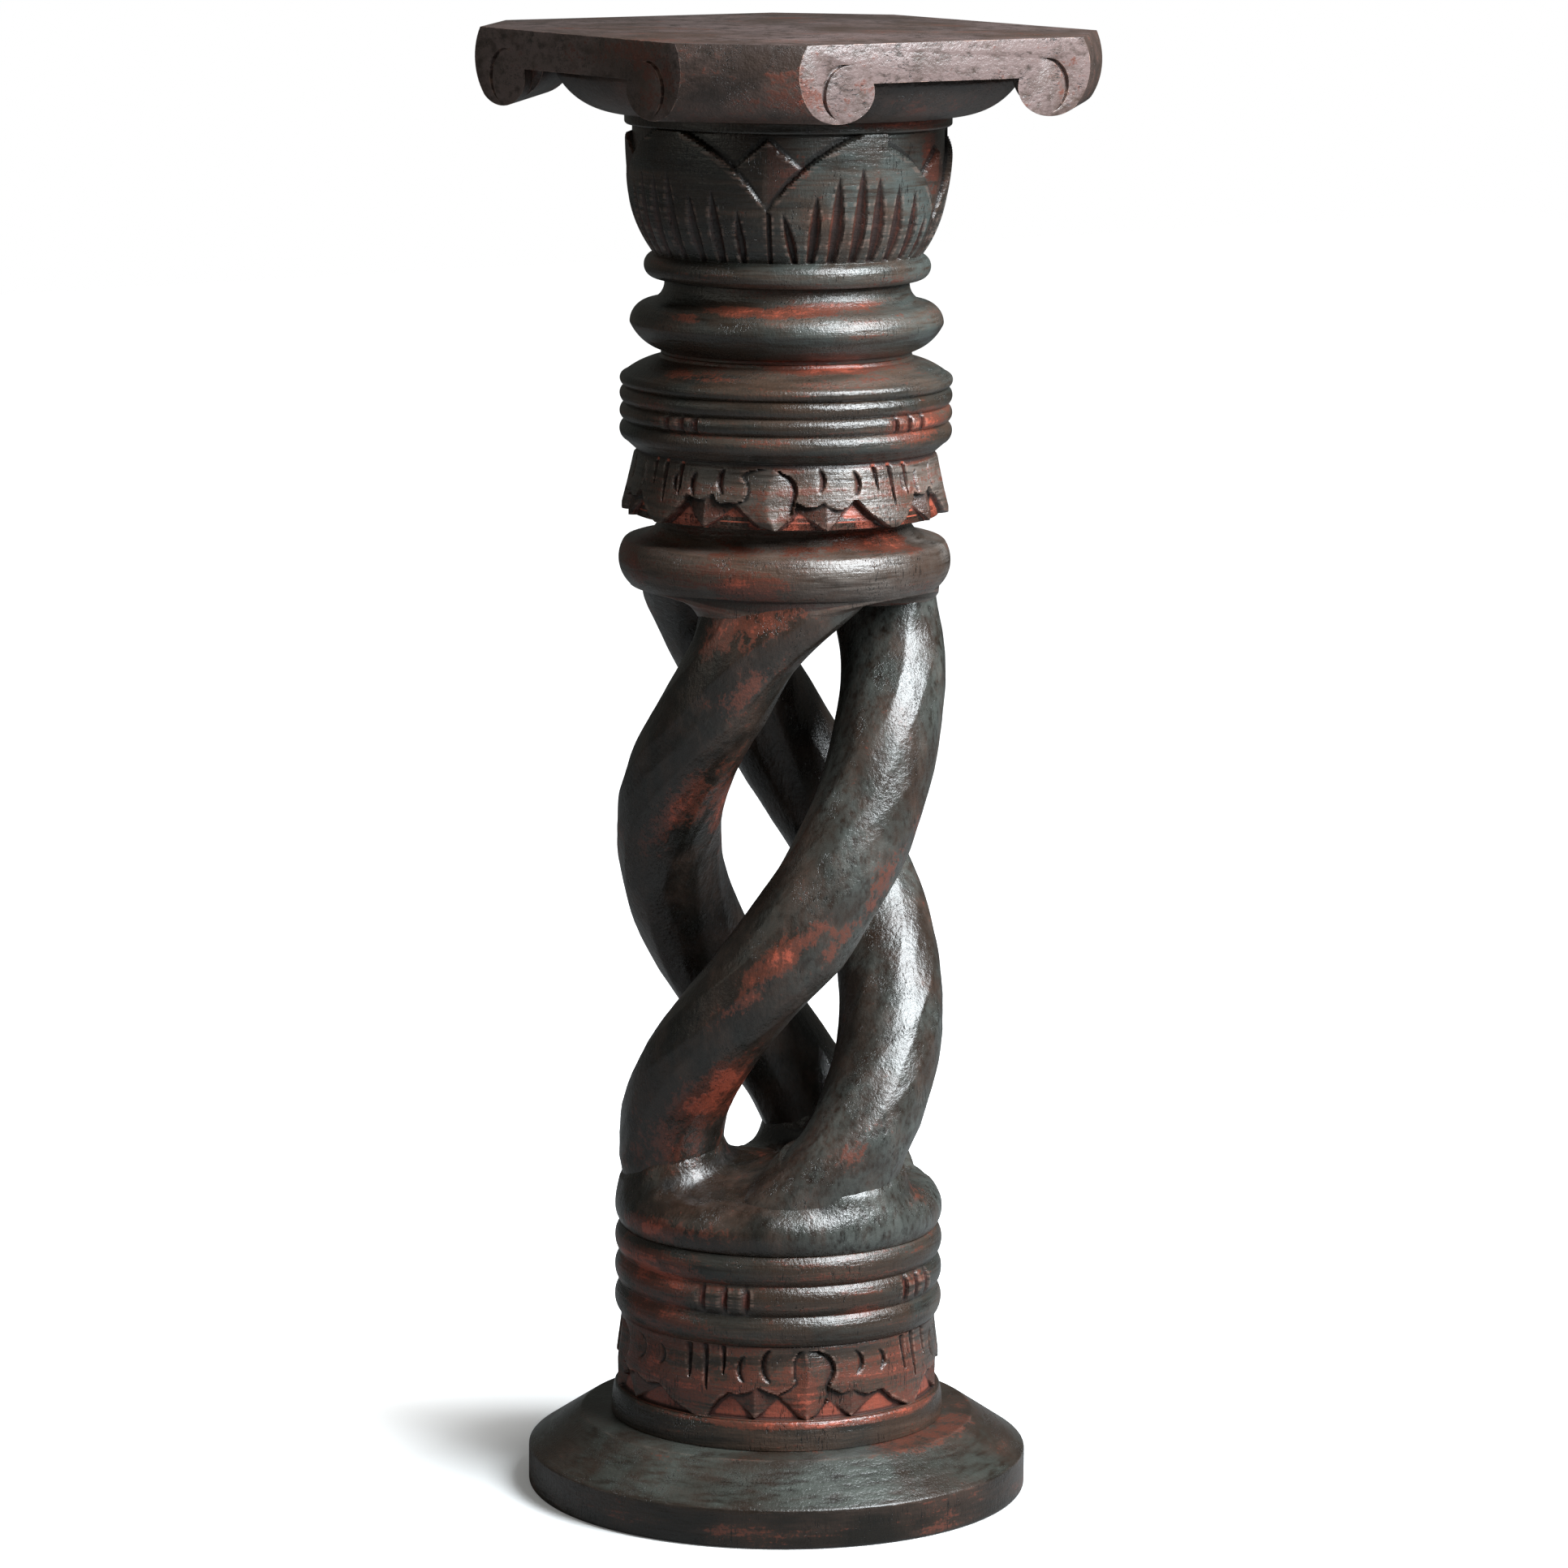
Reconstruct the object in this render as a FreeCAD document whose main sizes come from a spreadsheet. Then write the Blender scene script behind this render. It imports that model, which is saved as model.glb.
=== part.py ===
import FreeCAD, Part
import math
import os
import re
import Sketcher

# Pedestal column stand: a square scrolled top on a turned and carved column whose middle is an
# open twist of three strands. Lengths are in millimetres and angles in degrees. The origin is the
# middle of the plinth's underside, +Z is up, and the sides of the top lie along X and Y.

SIZES = [
    # top slab, with a scroll block under each cut corner
    ("slab_side", 311),
    ("slab_thickness", 23),
    ("corner_cut", 49),
    ("corner_bulge", 4),
    ("scroll_drop", 23),
    ("scroll_width", 37.5),
    ("scroll_face_inset", 7),
    ("scroll_tail_gap", 0.8),
    ("scroll_tail_width", 96),
    ("scroll_tail_lift", 4),
    ("eye_radius", 17),
    ("eye_groove_width", 3.2),
    ("eye_groove_depth", 2.5),
    # bearer bowl and neck ring
    ("bowl_height", 27),
    ("bowl_rim_inset", 15.5),
    ("bowl_bulge", 7),
    ("bowl_lip", 4),
    ("bowl_foot_step", 2),
    ("ring_height", 7),
    ("ring_inset", 0.2),
    ("ring_chamfer", 1),
    # capital
    ("capital_height", 93),
    ("capital_radius", 99),
    ("capital_flare_radius", 95.9),
    ("capital_flare_height", 34.5),
    ("capital_waist", 81.5),
    ("capital_bead_radius", 86.8),
    ("capital_bead_height", 15.5),
    ("capital_foot_step", 1),
    ("capital_foot_rise", 1.6),
    # turned section with the bold torus
    ("torus_height", 45),
    ("torus_radius", 95),
    ("torus_centre", 18.5),
    ("torus_foot", 2.2),
    ("torus_shoulder_radius", 87),
    ("torus_shoulder_rise", 11.8),
    ("torus_hollow_rise", 18.5),
    ("neck_radius", 76),
    ("upper_neck_radius", 74),
    # collar with four reeds
    ("collar_height", 57),
    ("reed_radius", 101),
    ("reed_groove", 3.2),
    ("reed_pitch", 10.4),
    ("collar_foot_step", 0.5),
    ("collar_foot_flare", 5.2),
    ("collar_foot_rise", 4.6),
    ("collar_neck_rise", 2.4),
    ("collar_neck_step", 1),
    ("collar_first_groove", 16.6),
    ("collar_bead_height", 8),
    # collar of hanging petals
    ("petal_height", 38),
    ("petal_top_radius", 91.5),
    ("petal_tip_radius", 99.6),
    ("petal_thickness", 7),
    ("petal_flare", 3),
    ("petal_tip_lift", 3),
    ("petal_undercut", 15),
    ("petal_gap_depth", 14),
    ("petal_gap_width", 19),
    ("petal_gap_floor", 2),
    ("petal_count", 16),
    ("petal_angle", 5),
    # disc that carries the twist
    ("disc_height", 28),
    ("disc_radius", 101),
    ("disc_foot_radius", 93.5),
    ("disc_rim_radius", 97),
    ("disc_chamfer", 1.5),
    ("disc_neck_rise", 18),
    ("disc_cove", 14),
    ("disc_floor", 8),
    # open twist
    ("twist_rise", 398),
    ("twist_pitch", 600),
    ("twist_top_angle", -5.7),
    ("twist_lag", 6),
    ("strand_count", 3),
    ("strand_radius", 32.5),
    ("strand_circle", 67),
    ("strand_flare", 0.3),
    ("strand_flare_reach", 26),
    ("strand_draw_in", 5),
    ("tenon_radius", 13),
    ("tenon_length", 18),
    ("tenon_root", 10),
    # drum cap and drum
    ("dome_height", 43),
    ("dome_edge_radius", 88),
    ("dome_edge_height", 27),
    ("dome_roof", 11),
    ("drum_height", 56),
    ("drum_radius", 101.2),
    ("drum_groove", 3.6),
    # lotus band, foot moulding and plinth
    ("band_height", 46),
    ("band_foot_radius", 100.2),
    ("band_top_step", 0.1),
    ("relief_depth", 1.6),
    ("relief_height", 15),
    ("relief_width", 24),
    ("relief_lift", 2),
    ("foot_height", 18),
    ("foot_radius", 103),
    ("foot_top_step", 0.8),
    ("foot_bulge", 0.4),
    ("plinth_height", 46),
    ("plinth_radius", 155),
    ("plinth_wall", 24),
    ("plinth_shelf_radius", 122),
    ("plinth_floor", 16),
    # dowels, screws and their fits
    ("dowel_radius", 16),
    ("dowel_chamfer", 1.5),
    ("fit", 0.1),
    ("cutter_overrun", 1),
    ("screw_count", 4),
    ("slab_screw_circle", 60),
    ("slab_screw_length", 38),
    ("slab_screw_radius", 2.5),
    ("slab_screw_head_radius", 5),
    ("slab_screw_head", 3.2),
    ("slab_screw_recess", 5),
    ("plinth_screw_circle", 62),
    ("plinth_screw_length", 66),
    ("plinth_screw_radius", 3),
    ("plinth_screw_head_radius", 6),
    ("plinth_screw_head", 4.2),
    ("plinth_screw_recess", 12),
    ("washer_radius", 9),
    ("washer_thickness", 1.6),
    ("screw_tip_room", 1),
]

# The column's pieces from the floor up, each with the height at which the next one sits on it.
STACK = [
    ("plinth", "plinth_height"),
    ("foot_moulding", "foot_height"),
    ("lotus_band", "band_height"),
    ("reeded_drum", "drum_height"),
    ("drum_cap", "twist_rise"),
    ("upper_disc", "disc_height + disc_neck_rise"),
    ("petal_collar", "petal_height"),
    ("reeded_collar", "collar_height"),
    ("torus_section", "torus_height"),
    ("capital", "capital_height"),
    ("neck_ring", "ring_height"),
    ("bearer_bowl", "bowl_height"),
    ("top_slab", "slab_thickness"),
]

# Shares of a strand's height at which its section is set, closer together where its ends spread.
STRAND_LEVELS = (0, 0.08, 0.28, 0.5, 0.72, 0.88, 0.95, 1)
BORE = "(dowel_radius + fit)"
BOWL_FOOT = "(capital_radius + bowl_foot_step)"
BOWL_RIM = "(slab_side / 2 - bowl_rim_inset)"
DRUM_GROOVE_RADIUS = "(drum_radius - drum_groove)"

document = FreeCAD.newDocument("pedestal_stand")
sheet = document.addObject("Spreadsheet::Sheet", "sizes")
for row, (alias, number) in enumerate(SIZES, start=1):
    sheet.set(f"A{row}", alias)
    sheet.set(f"B{row}", str(number))
    sheet.setAlias(f"B{row}", alias)
document.recompute()

size_names = {alias for alias, number in SIZES}
seats = {}
seat_so_far = "0"
for piece, rise in STACK:
    seats[piece] = seat_so_far
    seat_so_far = f"{seat_so_far} + {rise}"


def bound(text):
    """The text with each size's name turned into a reference to its cell."""
    return re.sub(r"[a-z_]+", lambda word: f"sizes.{word[0]}" if word[0] in size_names else word[0], text)


def value(text):
    """The number that an expression in the sizes gives now."""
    return float(sheet.evalExpression(bound(text)))


def new_body(label, seat):
    body = document.addObject("PartDesign::Body", label.title().replace("_", ""))
    body.Label = label
    body.setExpression("Placement.Base.z", bound(seat))
    return body


def origin_item(body, role):
    return next(item for item in body.Origin.OriginFeatures if item.Role == role)


def new_sketch(body, plane, turn="0", lift="0", shift="0"):
    """A sketch on one of the body's own planes, lifted off it, shifted along X and turned about +Z."""
    sketch = body.newObject("Sketcher::SketchObject", "Sketch")
    sketch.AttachmentSupport = [(origin_item(body, plane), "")]
    sketch.MapMode = "FlatFace"
    flat = plane == "XY_Plane"
    axis = FreeCAD.Vector(0, 0, 1) if flat else FreeCAD.Vector(0, 1, 0)
    sketch.AttachmentOffset = FreeCAD.Placement(FreeCAD.Vector(), FreeCAD.Rotation(axis, value(turn)))
    across = shift
    away = lift
    if turn != "0":
        sketch.setExpression("AttachmentOffset.Rotation.Angle", bound(turn))
        if not flat:
            across = f"({lift}) * sin(({turn}) * 1 deg)"
            away = f"({lift}) * cos(({turn}) * 1 deg)"
    sketch.setExpression("AttachmentOffset.Base.x", bound(across))
    sketch.setExpression("AttachmentOffset.Base.z", bound(away))
    return sketch


def pin_point(sketch, geometry, end, across, up):
    """Hold one point of a sketch at its distances from the sketch's origin."""
    for kind, place in (("DistanceX", across), ("DistanceY", up)):
        number = value(place)
        index = sketch.addConstraint(Sketcher.Constraint(kind, -1, 1, geometry, end, number))
        if place != "0":
            sketch.setExpression(f"Constraints[{index}]", bound(place))


def draw_loop(sketch, outline):
    """Draw a closed outline. A corner is (across, up), and an arc to the next corner passes through
    the ("via", across, up) that stands between the two."""
    corners = [entry for entry in outline if entry[0] != "via"]
    first = None
    previous = None
    for number, corner in enumerate(corners):
        following = corners[(number + 1) % len(corners)]
        after = outline[(outline.index(corner) + 1) % len(outline)]
        start = FreeCAD.Vector(value(corner[0]), value(corner[1]), 0)
        finish = FreeCAD.Vector(value(following[0]), value(following[1]), 0)
        start_index, finish_index = 1, 2
        if after[0] == "via":
            middle = FreeCAD.Vector(value(after[1]), value(after[2]), 0)
            anticlockwise = (middle - start).cross(finish - middle).z > 0
            if not anticlockwise:
                start, finish = finish, start
                start_index, finish_index = 2, 1
            line = sketch.addGeometry(Part.ArcOfCircle(start, middle, finish), False)
            marker = sketch.addGeometry(Part.Point(middle), True)
            pin_point(sketch, marker, 1, after[1], after[2])
            sketch.addConstraint(Sketcher.Constraint("PointOnObject", marker, 1, line))
        else:
            line = sketch.addGeometry(Part.LineSegment(start, finish), False)
        pin_point(sketch, line, start_index, *corner)
        if previous:
            sketch.addConstraint(Sketcher.Constraint("Coincident", *previous, line, start_index))
        first = first or (line, start_index)
        previous = (line, finish_index)
    sketch.addConstraint(Sketcher.Constraint("Coincident", *previous, *first))


def draw_circle(sketch, across, radius):
    circle = Part.Circle(FreeCAD.Vector(value(across), 0, 0), FreeCAD.Vector(0, 0, 1), value(radius))
    index = sketch.addGeometry(circle, False)
    pin_point(sketch, index, 3, across, "0")
    constraint = sketch.addConstraint(Sketcher.Constraint("Radius", index, value(radius)))
    sketch.setExpression(f"Constraints[{constraint}]", bound(radius))


def turn_on_lathe(body, outline, circle="0"):
    """Revolve an outline about +Z, or about an upright axis that stands at X = circle."""
    sketch = new_sketch(body, "XZ_Plane", shift=circle)
    draw_loop(sketch, outline)
    turned = body.newObject("PartDesign::Revolution", "Turned")
    turned.Profile = sketch
    turned.ReferenceAxis = (sketch, ["V_Axis"])
    turned.Angle = 360
    return turned


def turned_piece(label, outline):
    body = new_body(label, seats[label])
    turn_on_lathe(body, outline)
    return body


def add_feature(body, kind, sketch, length, both_ways=False, backwards=False):
    """Pad or Pocket a sketch, and check that it really changed the solid."""
    document.recompute()
    before = 0 if body.Shape.isNull() else body.Shape.Volume
    feature = body.newObject(f"PartDesign::{kind}", kind)
    feature.Profile = sketch
    feature.setExpression("Length", bound(length))
    feature.SideType = "Symmetric" if both_ways else "One side"
    feature.Reversed = backwards
    document.recompute()
    gained = body.Shape.Volume - before
    if (kind == "Pocket" and gained > -1) or (kind == "Pad" and gained < 1):
        raise RuntimeError(f"{body.Label}: {kind} changed the volume by {gained:.3f}")
    return feature


def repeat_round(body, feature, count):
    pattern = body.newObject("PartDesign::PolarPattern", "Round")
    pattern.Originals = [feature]
    pattern.Axis = (origin_item(body, "Z_Axis"), [""])
    pattern.Angle = 360
    pattern.setExpression("Occurrences", bound(count))
    body.Tip = pattern
    return pattern


def drill_round(body, circle, radius, lift, depth, count, upwards=True, turn="0"):
    """Drill the same upright hole at equal steps round the piece."""
    sketch = new_sketch(body, "XY_Plane", turn=turn, lift=lift)
    draw_circle(sketch, circle, radius)
    hole = add_feature(body, "Pocket", sketch, depth, backwards=upwards)
    repeat_round(body, hole, count)


def make_plinth():
    body = turned_piece("plinth", [
        ("0", "0"),
        ("plinth_radius", "0"),
        ("plinth_radius", "plinth_wall"),
        ("plinth_shelf_radius", "plinth_height"),
        (BORE, "plinth_height"),
        (BORE, "plinth_floor"),
        ("0", "plinth_floor"),
    ])
    drill_round(body, "plinth_screw_circle", "plinth_screw_radius + fit", "0", "plinth_height", "screw_count")
    drill_round(body, "plinth_screw_circle", "washer_radius + fit", "0", "plinth_screw_recess", "screw_count")
    return body


def make_foot_moulding():
    top_radius = "(band_foot_radius + foot_top_step)"
    body = turned_piece("foot_moulding", [
        (BORE, "0"),
        ("foot_radius", "0"),
        ("via", f"(foot_radius + {top_radius}) / 2 + foot_bulge", "foot_height / 2"),
        (top_radius, "foot_height"),
        (BORE, "foot_height"),
    ])
    drill_round(body, "plinth_screw_circle", "plinth_screw_radius + fit", "0", "foot_height", "screw_count")
    return body


def make_lotus_band():
    top_radius = f"({DRUM_GROOVE_RADIUS} - band_top_step)"
    body = turned_piece("lotus_band", [
        (BORE, "0"),
        ("band_foot_radius", "0"),
        ("band_foot_radius", "band_height * 0.45"),
        (top_radius, "band_height * 0.9"),
        (top_radius, "band_height"),
        (BORE, "band_height"),
    ])
    reach = "plinth_screw_recess - washer_thickness + plinth_screw_length - plinth_height - foot_height"
    drill_round(body, "plinth_screw_circle", "plinth_screw_radius + fit", "0",
                f"{reach} + screw_tip_room", "screw_count")
    # the low triangles between the carved leaves, just above the band's foot
    sketch = new_sketch(body, "XZ_Plane", turn="petal_angle", lift="band_foot_radius - relief_depth")
    draw_loop(sketch, [
        ("0 - relief_width / 2", "relief_lift"),
        ("relief_width / 2", "relief_lift"),
        ("0", "relief_lift + relief_height"),
    ])
    triangle = add_feature(body, "Pocket", sketch, "band_foot_radius", backwards=True)
    repeat_round(body, triangle, "petal_count")
    return body


def make_reeded_drum():
    outline = [(BORE, "0")]
    for ring in range(3):
        outline.append((DRUM_GROOVE_RADIUS, f"drum_height * {ring} / 3"))
        outline.append(("via", "drum_radius", f"drum_height * {ring + 0.5} / 3"))
    outline.append((DRUM_GROOVE_RADIUS, "drum_height"))
    outline.append((BORE, "drum_height"))
    return turned_piece("reeded_drum", outline)


def make_drum_cap():
    return turned_piece("drum_cap", [
        (BORE, "0"),
        (DRUM_GROOVE_RADIUS, "0"),
        ("via", "drum_radius", "dome_edge_height * 0.36"),
        ("dome_edge_radius", "dome_edge_height"),
        ("via", "dome_edge_radius * 0.6", "dome_height * 0.851"),
        ("dome_edge_radius * 0.25", "dome_height * 0.977"),
        ("0", "dome_height"),
        ("0", "dome_height - dome_roof"),
        (BORE, "dome_height - dome_roof"),
    ])


def tenon_floor():
    """Height above the drum cap's seat at which the strands' lower tenons end."""
    return "dome_edge_height - tenon_length"


def cut_mortises(cap, disc):
    lower = "twist_top_angle - 360 * (twist_rise - dome_edge_height) / twist_pitch"
    drill_round(cap, "strand_circle", "tenon_radius + fit", tenon_floor(), "dome_height", "strand_count",
                turn=lower)
    drill_round(disc, "strand_circle", "tenon_radius + fit", "0", "tenon_length + fit", "strand_count",
                turn="twist_top_angle")


def make_upper_disc():
    return turned_piece("upper_disc", [
        ("0", "0"),
        ("disc_foot_radius", "0"),
        ("via", "disc_radius", "disc_height * 0.48"),
        ("disc_rim_radius", "disc_height - disc_chamfer"),
        ("disc_rim_radius - disc_chamfer", "disc_height"),
        ("neck_radius + disc_cove", "disc_height + disc_chamfer"),
        ("via", "neck_radius + disc_cove * 0.3", "disc_height + disc_chamfer + disc_cove * 0.3"),
        ("neck_radius", "disc_height + disc_chamfer + disc_cove"),
        ("neck_radius", "disc_height + disc_neck_rise"),
        (BORE, "disc_height + disc_neck_rise"),
        (BORE, "disc_floor"),
        ("0", "disc_floor"),
    ])


def make_petal_collar():
    back = "petal_tip_radius - petal_thickness"
    body = turned_piece("petal_collar", [
        (BORE, "0"),
        ("neck_radius", "0"),
        ("neck_radius", "petal_undercut * 0.85"),
        ("via", f"(neck_radius + {back}) / 2", "petal_undercut"),
        (f"{back} - petal_flare", "petal_undercut * 0.85"),
        (f"{back} + petal_flare", "0"),
        ("petal_tip_radius", "petal_tip_lift"),
        ("petal_top_radius", "petal_height"),
        (BORE, "petal_height"),
    ])
    # the gaps that part the hanging petals
    sketch = new_sketch(body, "XZ_Plane", turn="petal_angle + 180 / petal_count",
                        lift="neck_radius + petal_gap_floor")
    draw_loop(sketch, [
        ("0 - petal_gap_width / 2", "0 - cutter_overrun"),
        ("petal_gap_width / 2", "0 - cutter_overrun"),
        ("0", "petal_gap_depth"),
    ])
    gap = add_feature(body, "Pocket", sketch, "petal_tip_radius", backwards=True)
    repeat_round(body, gap, "petal_count")
    return body


def make_reeded_collar():
    groove_radius = "reed_radius - reed_groove"
    bead = "collar_first_groove + reed_pitch * 2"
    outline = [
        (BORE, "0"),
        ("petal_top_radius + collar_foot_step", "0"),
        ("petal_top_radius + collar_foot_step + collar_foot_flare", "collar_foot_rise"),
        ("via", "reed_radius", "collar_foot_rise * 0.5 + collar_first_groove * 0.5"),
    ]
    for reed in range(2):
        outline.append((groove_radius, f"collar_first_groove + reed_pitch * {reed}"))
        outline.append(("via", "reed_radius", f"collar_first_groove + reed_pitch * {reed + 0.5}"))
    outline += [
        (groove_radius, bead),
        ("via", "reed_radius", f"{bead} + collar_bead_height * 0.45"),
        (groove_radius, f"{bead} + collar_bead_height"),
        ("via", "neck_radius * 0.46 + reed_radius * 0.54",
         f"({bead} + collar_bead_height + collar_height) / 2 - collar_neck_rise / 4"),
        ("neck_radius + collar_neck_step", "collar_height - collar_neck_rise"),
        ("neck_radius", "collar_height"),
        (BORE, "collar_height"),
    ]
    return turned_piece("reeded_collar", outline)


def make_torus_section():
    return turned_piece("torus_section", [
        (BORE, "0"),
        ("neck_radius", "0"),
        ("neck_radius", "torus_foot"),
        ("via", "torus_radius * 0.68 + neck_radius * 0.32", "torus_centre * 0.525"),
        ("torus_radius", "torus_centre"),
        ("via", "torus_radius * 0.745 + torus_shoulder_radius * 0.255",
         "torus_centre + torus_shoulder_rise * 0.62"),
        ("torus_shoulder_radius", "torus_centre + torus_shoulder_rise"),
        ("via", "torus_shoulder_radius * 0.46 + upper_neck_radius * 0.54",
         "torus_centre + torus_shoulder_rise * 0.54 + torus_hollow_rise * 0.46"),
        ("upper_neck_radius", "torus_centre + torus_hollow_rise"),
        ("upper_neck_radius", "torus_height"),
        (BORE, "torus_height"),
    ])


def make_capital():
    return turned_piece("capital", [
        (BORE, "0"),
        ("upper_neck_radius + capital_foot_step", "0"),
        ("upper_neck_radius + capital_foot_step", "capital_foot_rise"),
        ("via", "capital_bead_radius", "(capital_foot_rise + capital_bead_height) / 2"),
        ("capital_waist", "capital_bead_height"),
        ("via", "capital_waist * 0.375 + capital_flare_radius * 0.625",
         "capital_bead_height + capital_flare_height * 0.45"),
        ("capital_flare_radius", "capital_bead_height + capital_flare_height"),
        ("via", "capital_radius * 0.9 + capital_flare_radius * 0.1",
         "(capital_bead_height + capital_flare_height + capital_height) / 2"),
        ("capital_radius", "capital_height"),
        (BORE, "capital_height"),
    ])


def make_neck_ring():
    radius = "capital_radius - ring_inset"
    return turned_piece("neck_ring", [
        (BORE, "0"),
        (f"{radius} - ring_chamfer", "0"),
        (radius, "ring_chamfer"),
        (radius, "ring_height"),
        (BORE, "ring_height"),
    ])


def make_bearer_bowl():
    body = turned_piece("bearer_bowl", [
        (BORE, "0"),
        (BOWL_FOOT, "0"),
        ("via", f"({BOWL_FOOT} + {BOWL_RIM}) / 2 + bowl_bulge", "(bowl_height - bowl_lip) * 0.36"),
        (BOWL_RIM, "bowl_height - bowl_lip"),
        (BOWL_RIM, "bowl_height"),
        ("0", "bowl_height"),
        ("0", "bowl_height - disc_floor"),
        (BORE, "bowl_height - disc_floor"),
    ])
    drill_round(body, "slab_screw_circle", "slab_screw_radius + fit", "0", "bowl_height", "screw_count")
    drill_round(body, "slab_screw_circle", "slab_screw_head_radius + fit", "0", "slab_screw_recess",
                "screw_count")
    return body


def draw_square(sketch, side):
    half = f"({side}) / 2"
    draw_loop(sketch, [
        (f"0 - {half}", f"0 - {half}"),
        (half, f"0 - {half}"),
        (half, half),
        (f"0 - {half}", half),
    ])


def make_top_slab():
    body = new_body("top_slab", f"{seats['top_slab']} - scroll_drop")
    reach = "((slab_side - corner_cut) / sqrt(2))"
    top = "scroll_drop + slab_thickness"
    board = new_sketch(body, "XY_Plane", lift="scroll_drop")
    draw_square(board, "slab_side")
    add_feature(body, "Pad", board, "slab_thickness")
    # the corners are cut off square to the diagonals
    corner = new_sketch(body, "XZ_Plane", turn="45")
    draw_loop(corner, [
        (f"{reach} - corner_bulge", "scroll_drop - cutter_overrun"),
        ("slab_side", "scroll_drop - cutter_overrun"),
        ("slab_side", f"{top} + cutter_overrun"),
        (f"{reach} - corner_bulge", f"{top} + cutter_overrun"),
    ])
    repeat_round(body, add_feature(body, "Pocket", corner, "slab_side", both_ways=True), "4")
    # each scroll block: a bulging outer face that rolls under into the eye
    scroll = new_sketch(body, "XZ_Plane", turn="45")
    draw_loop(scroll, [
        (f"{reach} - scroll_width", "scroll_drop"),
        ("via", f"{reach} - scroll_width * 0.65", "scroll_drop * 0.026"),
        (f"{reach} - scroll_face_inset", "scroll_drop * 0.26"),
        ("via", reach, f"({top}) * 0.56"),
        (f"{reach} - corner_bulge", top),
        (f"{reach} - scroll_width", top),
    ])
    repeat_round(body, add_feature(body, "Pad", scroll, "slab_side", both_ways=True), "4")
    # the block's underside runs on inwards behind the eye
    tail = new_sketch(body, "XZ_Plane", turn="45")
    tail_start = f"({reach} - scroll_width * 0.7)"
    tail_end = f"({BOWL_RIM} + scroll_tail_gap)"
    draw_loop(tail, [
        (tail_end, "scroll_drop"),
        ("via", f"{tail_start} * 0.4 + {tail_end} * 0.6", "scroll_drop * 0.36"),
        (tail_start, "scroll_tail_lift"),
        (tail_start, "scroll_drop"),
    ])
    repeat_round(body, add_feature(body, "Pad", tail, "scroll_tail_width", both_ways=True), "4")
    # everything outside the square is trimmed off flush with the board's sides
    trim = new_sketch(body, "XY_Plane", lift="0 - scroll_drop")
    draw_square(trim, "slab_side")
    draw_square(trim, "slab_side * 3")
    add_feature(body, "Pocket", trim, f"{top} + scroll_drop + cutter_overrun", backwards=True)
    # a crescent groove half round each eye, the same on both ends of each side
    centre = "(slab_side / 2 - corner_cut - scroll_width * sqrt(2) + eye_radius)"
    for side in ("", "0 - "):
        crescent = new_sketch(body, "XZ_Plane", lift="slab_side / 2 - eye_groove_depth")
        draw_loop(crescent, [
            (f"{side}{centre}", "eye_radius * 2"),
            ("via", f"{side}({centre} + eye_radius)", "eye_radius"),
            (f"{side}({centre} + eye_radius * 0.6)", "eye_radius * 0.2"),
            ("via", f"{side}({centre} + eye_radius + eye_groove_width)", "eye_radius * 1.06"),
        ])
        groove = add_feature(body, "Pocket", crescent, "slab_side", backwards=True)
        repeat_round(body, groove, "4")
    bite = "slab_screw_recess - slab_screw_head + slab_screw_length - bowl_height"
    drill_round(body, "slab_screw_circle", "slab_screw_radius + fit", "scroll_drop",
                f"{bite} + screw_tip_room", "screw_count")
    return body


def make_dowel(label, start, finish):
    body = new_body(label, start)
    length = f"(({finish}) - ({start}))"
    turn_on_lathe(body, [
        ("0", "0"),
        ("dowel_radius - dowel_chamfer", "0"),
        ("dowel_radius", "dowel_chamfer"),
        ("dowel_radius", f"{length} - dowel_chamfer"),
        ("dowel_radius - dowel_chamfer", length),
        ("0", length),
    ])
    return body


def make_screws(label, seat, name, circle):
    """Identical round-headed screws pointing up, heads down, at equal steps round the axis."""
    body = new_body(label, seat)
    body.AllowCompound = True
    shank = f"{name}_radius"
    screw = turn_on_lathe(body, [
        ("0", "0"),
        (f"{name}_head_radius", "0"),
        (f"{name}_head_radius", f"{name}_head"),
        (shank, f"{name}_head"),
        (shank, f"{name}_length - 2 * {shank}"),
        ("0", f"{name}_length"),
    ], circle)
    repeat_round(body, screw, "screw_count")
    return body


def make_washers():
    body = new_body("plinth_washers", "plinth_screw_recess - washer_thickness")
    body.AllowCompound = True
    washer = turn_on_lathe(body, [
        ("plinth_screw_radius + fit", "0"),
        ("washer_radius", "0"),
        ("washer_radius", "washer_thickness"),
        ("plinth_screw_radius + fit", "washer_thickness"),
    ], "plinth_screw_circle")
    repeat_round(body, washer, "screw_count")
    return body


def strand_section(height, top, angle):
    """One level cut through a strand: an oval that leans with the twist and spreads at both ends."""
    circle = value("strand_circle")
    radius = value("strand_radius")
    reach = value("strand_flare_reach")
    lean = math.atan(2 * math.pi * circle / value("twist_pitch"))
    bottom = value(f"{seats['drum_cap']} + dome_edge_height")
    near_top = math.exp(-((top - height) / reach) ** 2)
    near_bottom = math.exp(-((height - bottom) / reach) ** 2)
    spread = 1 + value("strand_flare") * (near_top + near_bottom)
    oval = Part.Ellipse(FreeCAD.Vector(), radius / math.cos(lean) * spread, radius)
    wire = Part.Wire([oval.toShape()])
    centre = FreeCAD.Vector(0, value("strand_draw_in") * near_top - circle, height)
    wire.Placement = FreeCAD.Placement(centre, FreeCAD.Rotation())
    wire.rotate(FreeCAD.Vector(), FreeCAD.Vector(0, 0, 1), angle + 90)
    return wire


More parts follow.
